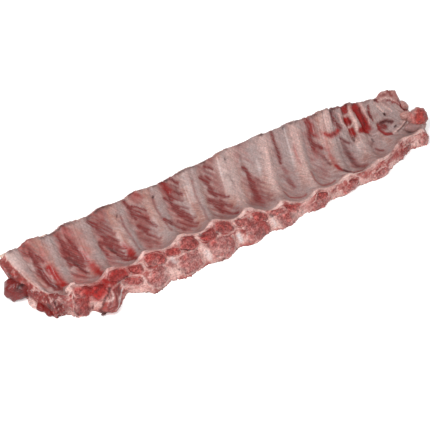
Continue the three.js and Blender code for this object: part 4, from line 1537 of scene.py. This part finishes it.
    def _paint_back(self) -> None:
        """The sawn tips and the outer side: muscle between layers of pale fat."""
        canvas = self.canvas
        tip, under = self._at(Zone.TIP), self._at(Zone.UNDER)
        w = self.share.ravel()
        layers = Grain(41)(canvas.places * np.array([0.35, 1.0, 1.0]), 4.5, 2)
        broad = Grain(42)(canvas.places * np.array([0.6, 1.0, 1.0]), 16.0, 3)
        canvas.add(Paint.RED, 0.8 * ramp(0.1, 0.4, w), tip)
        canvas.add(Paint.MUSCLE, 0.6 * ramp(0.0, 0.5, layers) * ramp(0.1, 0.3, w), tip)
        canvas.add(Paint.FAT, 0.8 * ramp(0.1, 0.55, -layers) * ramp(0.2, 0.5, w), tip)
        canvas.add(Paint.RED, 0.85 * np.ones_like(w), under)
        canvas.add(Paint.MUSCLE, 0.6 * ramp(0.05, 0.5, layers), under)
        canvas.add(Paint.FAT, 0.9 * ramp(-0.1, 0.35, broad), under)
        canvas.relief += np.where(tip | under, 0.5 * layers + 0.8 * broad, 0.0)

    def _paint_cut(self) -> None:
        """The two knife-cut ends."""
        canvas = self.canvas
        cut = self._at(*Zone, cut=True)
        upper = self._at(Zone.HOLLOW, Zone.RIM, cut=True)
        last = (self.u > 7).ravel()
        depth = self.depth.ravel()
        self._paint_raw(np.where(cut, ramp(-0.1, 0.15, depth), 0.0), cut)
        canvas.add(Paint.FAT, 0.8 * ramp(0.1, 0.02, depth), upper & last)
        for mark in CUT_MARKS:
            canvas.stroke(mark, mark.points(LINES.first_cut), cut)

    def _texture(self, flat: Array) -> Array:
        """Fine relief everywhere: fibres where muscle is bare, and small wrinkles.

        Args:
            flat: the skin's points.
        Returns:
            Heights in millimetres.
        """
        combed = Grain(51)(self.fibre * np.array([1.0, 0.12, 1.0]), 2.2, 2)
        soft = Grain(52)(flat, 6.0, 3)
        return 0.3 * combed * self.canvas.masks[Paint.MUSCLE] + 0.22 * soft

    def _uvs(self, rings: int, rows: int) -> Array:
        """One unfolded sheet: along the rack, and round the section.

        Args:
            rings: how many rings the skin has.
            rows: how many points each of them has.
        Returns:
            Two values for each corner of each face.
        """
        ring = np.repeat(np.arange(rings - 1), rows)
        row = np.tile(np.arange(rows), rings - 1)
        across = np.stack([row, row, row + 1, row + 1], -1) / rows
        along = np.stack([ring, ring + 1, ring + 1, ring], -1) / (rings - 1)
        return np.stack([along, across], -1).reshape(-1, 2) * 0.996 + 0.002


# ---------------------------------------------------------------- the bones


@dataclass
class RibBones:
    """The thirteen rib bones, which show where the saw cut them off."""

    width: float = 13.0
    thickness: float = 8.2
    sink: float = 2.4  # under the plain hollow side, so that the membrane covers them
    end_taper: float = 0.2  # how much slimmer the ribs are that lie close to the back
    proud: float = 1.7  # how far the sawn tip stands out of the plain sawn face
    deepest_open: float = 4.0  # ribs that lie deeper at their tips end covered by the meat
    # How much deeper some ribs lie near the rim, and some near their tips.
    low_sink: dict[int, float] = field(default_factory=lambda: {1: 6.0, 2: 5.0, 4: 1.5, 13: 2.0})
    tip_sink: dict[int, float] = field(default_factory=lambda: {1: 1.3, 11: 4.2, 12: 5.0, 13: 8.0})
    middle_sink: dict[int, float] = field(default_factory=lambda: {1: 2.0, 11: 3.8})
    head_recess: float = 3.5  # from the face's plain to the bone's chine end
    # How far along some ribs' feet lie, away from the cut ends.
    foot_shift: dict[int, float] = field(default_factory=lambda: {1: 0.35, 13: -0.2})
    sides: int = 24
    steps: int = 40
    shell_share: float = 0.76  # the marrow's width over the bone's
    recess: float = 0.9

    def build(self, material: bpy.types.Material) -> list[bpy.types.Object]:
        """Makes one bone for each rib.

        Args:
            material: the bones' material.
        Returns:
            The objects.
        """
        made = []
        for k in range(1, LINES.ribs + 1):
            bone = self._bone(k).place(f"rib_bone_{k:02d}", material, "rib_bone")
            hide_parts(f"rib_{k:02d}")
            made.append(bone)
        return made

    def _path(self, k: int) -> Array:
        """Middle line of rib k, from the chine rim to the sawn tip.

        Args:
            k: the rib's number.
        Returns:
            Points in millimetres.
        """
        shift = self.foot_shift.get(k, 0.0)
        foot = np.array(k + shift)
        low, tip = self.low_sink.get(k, 0.0), self.tip_sink.get(k, 0.0)
        head = LINES.face(foot, np.array(0.27)) + (0, self.head_recess, 0.3)
        knots = [head, head + (0, 6.0, -1.5 - 0.13 * LINES.rim_z(foot) - low)]
        depths = ((0.2, 0.8), (0.34, 0.6), (0.5, 0.6), (0.66, 1.0), (0.82, 2.3), (1.0, 3.8))
        if tip > self.deepest_open:
            depths = depths[:-1]
        for t, extra in depths:
            deeper = self.sink + extra + low * (1 - t) ** 0.5 + tip * t**2
            deeper += self.middle_sink.get(k, 0.0) * float(bump(t, 0.7, 0.3))
            knots.append(LINES.hollow(foot - shift * t**0.7, np.array(t), -deeper))
        knots[-1] = knots[-1] + self.proud * unit(knots[-1] - knots[-2])
        return smooth_path(np.array(knots), self.steps)

    def _to_sawn_face(self, k: int, points: Array, run: Array) -> Array:
        """Slides points along the bone to the plain sawn face, and a little out of it.

        Args:
            k: the rib's number.
            points: the points of the bone's tip.
            run: the way the bone runs there.
        Returns:
            The moved points.
        """
        edge = LINES.hollow(np.array(float(k)), np.array(1.0))
        across = unit(LINES.heel(np.array(float(k)), edge) - edge)
        outward = unit(np.cross(np.array([-1.0, 0.0, 0.0]), across))
        ahead = (edge - points) @ outward / (run @ outward)
        return points + (ahead + self.proud)[:, None] * run

    def _bone(self, k: int) -> Form:
        """The closed form of rib k.

        Args:
            k: the rib's number.
        Returns:
            The form, with the masks "marrow" and "redness".
        """
        path = self._path(k)
        run = unit(np.gradient(path, axis=0))
        side = unit(np.cross(run, np.array([0, 0, 1.0])))
        top = np.cross(side, run)
        along = np.linspace(0, 1, len(path))
        taper = 1 - 0.16 * ramp(8, 12, k) - self.end_taper * (k in (1, 11))
        size = taper * (1 - 0.22 * (1 - ramp(0, 0.3, along)))
        angle = np.linspace(0, 2 * np.pi, self.sides, endpoint=False)
        grain = Grain(70 + k)
        final = len(path) - 1

        def ring(i: int, share: float, back: float) -> Array:
            """One ring of points round the bone.

            Args:
                i: which point of the path it goes round.
                share: its width over the bone's.
                back: how far it is set into the bone, in millimetres.
            Returns:
                Points in millimetres.
            """
            wide = 0.5 * self.width * size[i] * share * np.cos(angle)
            high = 0.5 * self.thickness * size[i] * share * np.sin(angle)
            points = path[i] + wide[:, None] * side[i] + high[:, None] * top[i]
            way = run[i] if i else -run[i]
            uneven = 0.35 * grain(points, 3.0, 2)[:, None]
            if i == final and self.tip_sink.get(k, 0.0) < self.deepest_open:
                points = self._to_sawn_face(k, points, run[i])
            return points - way * back + way * uneven * (share < 1)

        steps = [(0.3, 0.9), (0.62, 1.0), (self.shell_share, 0.8), (self.shell_share + 0.06, 0.1)]
        steps = [(share, back * self.recess) for share, back in steps] + [(0.95, 0.0)]
        rings = [ring(0, share, back) for share, back in steps]
        rings += [ring(i, 1.0, 0.0) for i in range(len(path))]
        rings += [ring(final, share, back) for share, back in reversed(steps)]
        inside = [1.0, 1.0, 1.0, 0.1, 0.0]
        marrow = inside + [0.0] * len(path) + inside[::-1]
        values = {"marrow": [np.full(self.sides, m) for m in marrow]}
        values["redness"] = [np.full(self.sides, 0.5) for _ in marrow]
        return closed_tube(rings, values)


def smooth_path(knots: Array, steps: int) -> Array:
    """A smooth line through some points.

    Args:
        knots: the points it passes.
        steps: how many points the line has.
    Returns:
        The line's points.
    """
    padded = np.concatenate([2 * knots[:1] - knots[1:2], knots, 2 * knots[-1:] - knots[-2:-1]])
    place = np.linspace(0, len(knots) - 1 - 1e-6, steps)
    i = place.astype(int)
    f = (place - i)[:, None]
    a, b, c, d = padded[i], padded[i + 1], padded[i + 2], padded[i + 3]
    curve = 2 * b + (c - a) * f + (2 * a - 5 * b + 4 * c - d) * f**2
    return 0.5 * (curve + (3 * b - a - 3 * c + d) * f**3)


@dataclass(frozen=True)
class SawnPatch:
    """A low dome of sawn spongy bone set in the chine face.

    Attributes:
        u: its middle along the rack.
        v: its middle down the face.
        width: along the rack, in millimetres.
        height: down the face, in millimetres.
        redness: how bloody its marrow is, 0 to 1.
        proud: how far it stands out, in millimetres.
        darkest_before: up to this place along the rack, blood lies thickest.
    """

    u: float
    v: float
    width: float
    height: float
    redness: float
    proud: float = 1.6
    darkest_before: ClassVar[float] = 3.4

    def reach(self, u: Array, v: Array) -> Array:
        """How far a place on the face lies from its middle, 1 at its outline.

        Args:
            u: place along the rack.
            v: place down the face.
        Returns:
            The distance over the outline's.
        """
        face_height = float(np.hypot(LINES.lean(self.u), LINES.rim_z(self.u)))
        across = (u - self.u) * LINES.pitch * 2 / self.width
        down = (v - self.v) * face_height * 2 / self.height
        return (np.abs(across) ** 3 + np.abs(down - 0.1 * across) ** 3) ** (1 / 3)

    def form(self, seed: int, rings: int = 13, sides: int = 52, skirt: float = 4.0) -> Form:
        """Makes its closed form.

        Args:
            seed: seed of its uneven outline and surface.
            rings: how many rings of points cover its front.
            sides: how many points go round it.
            skirt: how deep it sits in the meat, in millimetres.
        Returns:
            The form, with the masks "marrow" and "redness".
        """
        angle = np.linspace(0, 2 * np.pi, sides, endpoint=False)
        cosine, sine = np.cos(angle), np.sin(angle)
        outline = 1.0 + 0.26 * Grain(seed)(stack(9 * cosine, 9 * sine, 0.0), 8.0, 3)
        across = np.sign(cosine) * np.abs(cosine) ** 0.8 * outline * self.width / 2 / LINES.pitch
        face_height = float(np.hypot(LINES.lean(self.u), LINES.rim_z(self.u)))
        down = np.sign(sine) * np.abs(sine) ** 0.8 * outline * self.height / 2 / face_height
        front = [(r, 1 - r**3) for r in np.linspace(0.06, 1.0, rings)]
        back = [(1.0, -0.5), (0.9, -1.0), (0.4, -1.0)]
        points, marrow, redness, outer = [], [], [], []
        for r, height in front + back:
            u = self.u + r * across
            v = np.clip(self.v + r * (down + 0.25 * across), 0.02, 0.985)
            plain = LINES.face_skin(u, v)
            ahead = LINES.face(u, v, 1.0) - LINES.face(u, v)
            coarse = Grain(seed + 1)(plain, 6.0, 3)
            uneven = 1.2 * coarse + 0.5 * Grain(seed + 2)(plain, 2.0, 2)
            lift = self.proud * height + uneven if height >= 0 else skirt * height
            ring = plain + ahead * (lift * np.ones_like(u))[:, None]
            ring[:, 2] = np.maximum(ring[:, 2], 0.0)
            points.append(ring)
            edge = 0.95 + 0.12 * Grain(seed + 3)(plain, 6.0, 2)
            marrow.append(ramp(edge + 0.1, edge - 0.12, r * np.ones_like(u)))
            swing = 0.7 * coarse - 0.35 * r * np.sin(angle + 0.6)
            redness.append(np.clip(self.redness + swing, 0, 1))
            outer.append(ramp(0.78, 0.98, r * np.ones_like(u)))
        form = closed_tube(points, {"marrow": marrow, "redness": redness, "outer": outer})
        canvas = Canvas(form.points, seed + 4)
        for mark in FACE_MARKS:
            everywhere = np.ones(len(form.points), bool)
            firmness = 0.95 if self.u < self.darkest_before else 0.55
            canvas.stroke(mark, mark.points(LINES.face_skin), everywhere, firmness)
        # Its outline is pale with fat, and here and there dark with painted shade where a crevice opens.
        outline = form.values.pop("outer")
        turns = Grain(seed + 5)(form.points, 6.0, 2)
        canvas.add(Paint.FAT, 0.8 * outline * ramp(-0.25, 0.15, turns))
        thin = Grain(seed + 6)(form.points, 8.0, 3)
        canvas.add(Paint.FAT, 0.4 * (1 - self.redness) * ramp(0.05, 0.4, thin))
        canvas.add(Paint.MUSCLE, 0.5 * ramp(-0.15, -0.45, thin))
        canvas.add(Paint.MUSCLE, 0.9 * outline * ramp(-0.05, -0.3, turns))
        canvas.add(Paint.CLOT, 0.4 * outline * ramp(-0.2, -0.45, turns))
        form.values |= {paint.value: canvas.masks[paint] for paint in SawnBone.stains_and_shade}
        return form


@dataclass
class VertebraBlocks:
    """The sawn blocks of spongy bone low on the chine face, one at the foot of each rib."""

    numbers: tuple[int, ...] = (2, 4, 5, 6, 7, 8, 9, 10, 11, 12, 13)
    width: float = 30.0
    height: float = 24.0
    middle: float = 0.66
    first_width: float = 0.75  # of the first two, over the others'
    redness: tuple[float, ...] = (0.9, 0.25, 0.35, 0.3, 0.35, 0.5, 0.5, 0.5, 0.4, 0.4, 0.4)

    def build(self, material: bpy.types.Material) -> list[bpy.types.Object]:
        """Makes the blocks.

        Args:
            material: the blocks' material.
        Returns:
            The objects.
        """
        made = []
        for k, redness in zip(self.numbers, self.redness):
            u = k + 0.05 + 0.04 * float(LINES.wobble(np.array(7.0 * k), 5)) + 0.1 * (k == 4)
            shrink = 1 - 0.5 * float(ramp(6.5, 9.5, k))
            narrow = 1 - 0.25 * float(ramp(7.5, 9.5, k))
            narrow *= self.first_width if k in self.numbers[:2] else 1.0
            patch = SawnPatch(u, self.middle, self.width * narrow, self.height * shrink, redness)
            block = patch.form(100 + 10 * k).place(f"sawn_block_{k:02d}", material, "spongy_bone")
            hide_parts(f"vertebra_{k:02d}")
            made.append(block)
        return made


@dataclass
class RibHeads:
    """The red lumps just under the rim, where the saw opened rib heads and joints."""

    # Place along the rack and down the face, width and height, redness, and how far it stands out.
    heads: tuple[SawnPatch, ...] = tuple(
        SawnPatch(*sizes)
        for sizes in (
            (2.21, 0.22, 19, 13, 0.8, 1.8), (2.62, 0.34, 15, 17, 1.0, 2.2), (3.2, 0.2, 20, 14, 0.8, 2.4),
            (3.66, 0.18, 13, 11, 0.95, 2.2), (3.5, 0.55, 17, 12, 0.85, 2.0),
            (4.22, 0.2, 20, 15, 0.75, 2.2), (4.72, 0.17, 17, 10, 0.9, 1.8),
            (5.19, 0.21, 19, 14, 0.75, 2.4), (5.75, 0.19, 18, 13, 1.0, 2.2),
            (6.22, 0.2, 19, 13, 0.8, 2.4), (6.76, 0.18, 17, 11, 0.65, 1.8),
            (7.27, 0.26, 15, 12, 0.9, 2.0), (7.83, 0.18, 16, 8, 0.45, 1.6), (8.22, 0.26, 14, 9, 1.0, 1.8),
            (9.12, 0.36, 13, 8, 0.8, 1.6), (10.15, 0.36, 12, 7, 0.7, 1.4),
        )
    )

    def build(self, material: bpy.types.Material) -> list[bpy.types.Object]:
        """Makes one piece for each lump.

        Args:
            material: the blocks' material.
        Returns:
            The objects.
        """
        return [
            head.form(400 + 10 * i).place(f"sawn_head_{i:02d}", material, "spongy_bone")
            for i, head in enumerate(self.heads, 1)
        ]


@dataclass
class EndKnob:
    """The rounded knob of bone at the narrow end, sawn open on its near side."""

    centre: tuple[float, float, float] = (217.0, -5.0, 18.6)
    radius: float = 9.6
    tilt: float = 0.15
    # The ways that its sawn face, its bare side and its inner side look.
    sawn_way: tuple[float, float, float] = (-0.35, -0.72, 0.62)
    bare_way: tuple[float, float, float] = (0.83, -0.55, -0.1)
    inner_way: tuple[float, float, float] = (-0.8, 0.5, -0.35)

    def build(self, material: bpy.types.Material) -> bpy.types.Object:
        """Makes the piece.

        Args:
            material: the knob's material.
        Returns:
            The object.
        """
        r = self.radius
        form = lump_form(self.centre, (1.12 * r, 0.95 * r, 0.85 * r), self.tilt, 200, 3.6, {"marrow": 0.0})
        outward = unit(form.points - np.array(self.centre))
        facing = outward @ unit(np.array(self.sawn_way))
        aside = outward @ unit(np.array(self.bare_way))
        inner = outward @ unit(np.array(self.inner_way))
        uneven = 0.3 * Grain(210)(form.points, 5.0, 2)
        form.values["marrow"] = ramp(-0.5, 0.1, facing)
        form.values["redness"] = np.clip(ramp(0.25, 0.65, facing + 0.6 * uneven), 0.3, 1)
        form.values[Paint.BLOOD.value] = 0.25 * ramp(0.8, 0.97, facing + 0.5 * uneven)
        form.values[Paint.MUSCLE.value] = 0.7 * ramp(0.6, 0.85, aside + uneven)
        pale = 0.45 * ramp(0.1, 0.7, 2 * uneven - 0.5 * aside) * (facing < 0.85)
        form.values[Paint.FAT.value] = np.maximum(pale, 0.4 * ramp(0.2, 0.7, inner + uneven))
        made = form.place("sawn_end_knob", material, "spongy_bone")
        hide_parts("end_knob")
        return made


@dataclass(frozen=True)
class Bit:
    """A ragged bit of meat or fat.

    Attributes:
        name: the piece's name.
        centre: its middle, in millimetres.
        radii: its half sizes, in millimetres.
        rough: height of its unevenness, in millimetres.
        paints: how much of each paint it shows.
        tilt: how far it is turned about the Y axis, in radians.
    """

    name: str
    centre: tuple[float, float, float]
    radii: tuple[float, float, float]
    rough: float
    paints: dict[Paint, float]
    tilt: float = 0.25

    def build(self, material: bpy.types.Material, seed: int) -> bpy.types.Object:
        """Makes the piece.

        Args:
            material: the meat's material.
            seed: seed of its shape and its spots.
        Returns:
            The object.
        """
        masks = {paint.value: self.paints.get(paint, 0.0) for paint in Paint}
        form = lump_form(self.centre, self.radii, self.tilt, seed, self.rough, masks)
        spots = Grain(seed + 5)(form.points, 5.0, 2)
        fresh = self.paints.get(Paint.MUSCLE, 0.0)
        form.values[Paint.BLOOD.value] = fresh * (0.4 + 0.3 * ramp(0.0, 0.5, spots))
        form.values[Paint.PALE.value] = 0.15 * ramp(0.4, 0.65, spots)
        dark = self.paints.get(Paint.CLOT, 0.0)
        form.values[Paint.CLOT.value] = np.clip(dark + 0.4 * fresh * ramp(0.1, 0.5, -spots), 0, 1)
        return form.place(self.name, material, "meat")


# What the ragged bits show.
DARK_BIT = {Paint.MUSCLE: 1.0, Paint.CLOT: 0.3}
RAW_LUMP = {Paint.MUSCLE: 1.0, Paint.RED: 1.0, Paint.CLOT: 0.42}
COLLAR = {Paint.WARM: 0.7, Paint.RED: 0.4, Paint.FAT: 0.35}
GREY_FOLD = {Paint.LILAC: 0.6, Paint.MUSCLE: 0.2}
PINK_FOLD = {Paint.RED: 0.45, Paint.FAT: 0.35}


@dataclass
class LooseBits:
    """Ragged bits of meat and fat: along the cut end, at the flap and beside the end knob."""

    bits: tuple[Bit, ...] = (
        Bit("dark_end_lump", (-213.5, 21.0, 8.5), (11.5, 12.0, 11.0), 3.8, RAW_LUMP),
        Bit("fat_end_bit", (-208.5, 2.5, 3.2), (3.0, 6.5, 3.2), 2.4, {Paint.FAT: 0.75}, 0.1),
        Bit("dark_bit_1", (-204.8, -5.0, 2.6), (3.2, 5.6, 2.8), 2.0, DARK_BIT),
        Bit("dark_bit_2", (-202.0, -12.5, 2.4), (3.0, 5.4, 2.5), 2.0, DARK_BIT),
        Bit("fat_chip", (-181.0, -18.3, 26.0), (6.4, 3.0, 3.8), 1.6, {Paint.FAT: 0.9}, -0.6),
        Bit("knob_collar", (207.4, 2.2, 19.5), (7.5, 5.5, 5.5), 2.2, COLLAR, 0.5),
        Bit("knob_root", (210.5, -9.6, 12.2), (15.5, 5.2, 5.2), 2.2, GREY_FOLD, 0.3),
        Bit("lobe_end", (211.4, 12.0, 24.0), (10.0, 4.0, 3.4), 1.6, PINK_FOLD, 0.85),
        Bit("black_flap_tip", (-163.0, -42.2, 2.6), (3.0, 1.5, 1.5), 1.0, {Paint.CLOT: 1.0}, 0.1),
    )

    def build(self, material: bpy.types.Material) -> list[bpy.types.Object]:
        """Makes the bits from the meat's material."""
        return [bit.build(material, 300 + 20 * i) for i, bit in enumerate(self.bits)]


@dataclass
class Studio:
    """Floor, light and camera.

    Attributes:
        azimuth: where the camera stands round the rack, in degrees.
        elevation: how high it looks down from, in degrees.
        distance: from the rack, in metres.
        lens: focal length for a 36 mm sensor, in millimetres.
        aim: the point it looks at, in metres.
        rise: how far above the middle of the picture that point shows, of its height.
        floor_half: half the floor's side, in millimetres.
        surround: how bright the white surround is.
        lamps: the soft lights.
    """

    azimuth: float = -33.5
    elevation: float = 45.0
    distance: float = 1.3
    lens: float = 118.25
    aim: tuple[float, float, float] = (-0.018, 0.0018, 0.020)
    rise: float = 10 / 430
    floor_half: float = 6000.0
    surround: float = 0.42
    # Name, place and side in metres, and power in watts of each soft light.
    lamps: tuple[tuple, ...] = (
        ("key", (-0.8, -0.3, 1.3), 0.6, 15.0),
        ("fill", (0.7, -0.7, 1.2), 1.1, 3.0),
    )

    def camera(self) -> None:
        """Sets the camera."""
        a, e = math.radians(self.azimuth), math.radians(self.elevation)
        back = Vector((math.sin(a) * math.cos(e), -math.cos(a) * math.cos(e), math.sin(e)))
        data = bpy.data.cameras.new("camera")
        data.lens = self.lens
        data.shift_y = -self.rise
        data.clip_start = 0.05
        data.clip_end = 20.0
        camera = bpy.data.objects.new("camera", data)
        camera.location = Vector(self.aim) + back * self.distance
        camera.rotation_euler = (-back).to_track_quat("-Z", "Y").to_euler()
        bpy.context.scene.collection.objects.link(camera)
        bpy.context.scene.camera = camera

    def lights(self) -> None:
        """Sets a broad key light, a soft fill and a bright surround."""
        for name, place, side, power in self.lamps:
            data = bpy.data.lights.new(name, "AREA")
            data.size = side
            data.energy = power
            light = bpy.data.objects.new(name, data)
            light.location = place
            light.rotation_euler = (-Vector(place)).to_track_quat("-Z", "Y").to_euler()
            bpy.context.scene.collection.objects.link(light)
        world = bpy.data.worlds.new("surround")
        world.use_nodes = True
        background = world.node_tree.nodes["Background"]
        background.inputs["Color"].default_value = linear("#ffffff")
        background.inputs["Strength"].default_value = self.surround
        bpy.context.scene.world = world

    def floor(self, material: bpy.types.Material) -> None:
        """Lays the floor under the rack.

        Args:
            material: the floor's material.
        """
        half = self.floor_half
        corners = np.array([(-half, -half, 0), (half, -half, 0), (half, half, 0), (-half, half, 0)])
        Form(corners, [[0, 1, 2, 3]], {}).to_object("floor", material)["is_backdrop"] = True

    def build(self) -> None:
        """Sets everything up."""
        self.camera()
        self.lights()
        self.floor(PaperFloor().build())
        bpy.context.scene.view_settings.view_transform = "Standard"


def main() -> None:
    """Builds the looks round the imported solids."""
    logging.basicConfig(level=logging.INFO, format="%(name)s: %(message)s")
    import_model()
    cad_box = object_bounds()
    Studio().build()
    meat = WetMeat().build()
    MeatSkin().build(meat)
    LooseBits().build(meat)
    rib_bone = SawnBone("fresh_rib_bone", shell="#d3b3a6", wall="#b98078", bloody_wall="#a9574f")
    RibBones().build(rib_bone.build())
    sawn = SawnBone("sawn_spongy_bone").build()
    VertebraBlocks().build(sawn)
    RibHeads().build(sawn)
    knob = SawnBone("sawn_knob", bloody_wall="#bb4a40", bloody_pore="#9f322b", crevice_depth=0.3)
    EndKnob().build(knob.build())
    sizes = {"cad": cad_box, "looks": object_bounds()}
    {name: [list(corner) for corner in box] for name, box in sizes.items()}


if __name__ == "__main__":
    main()
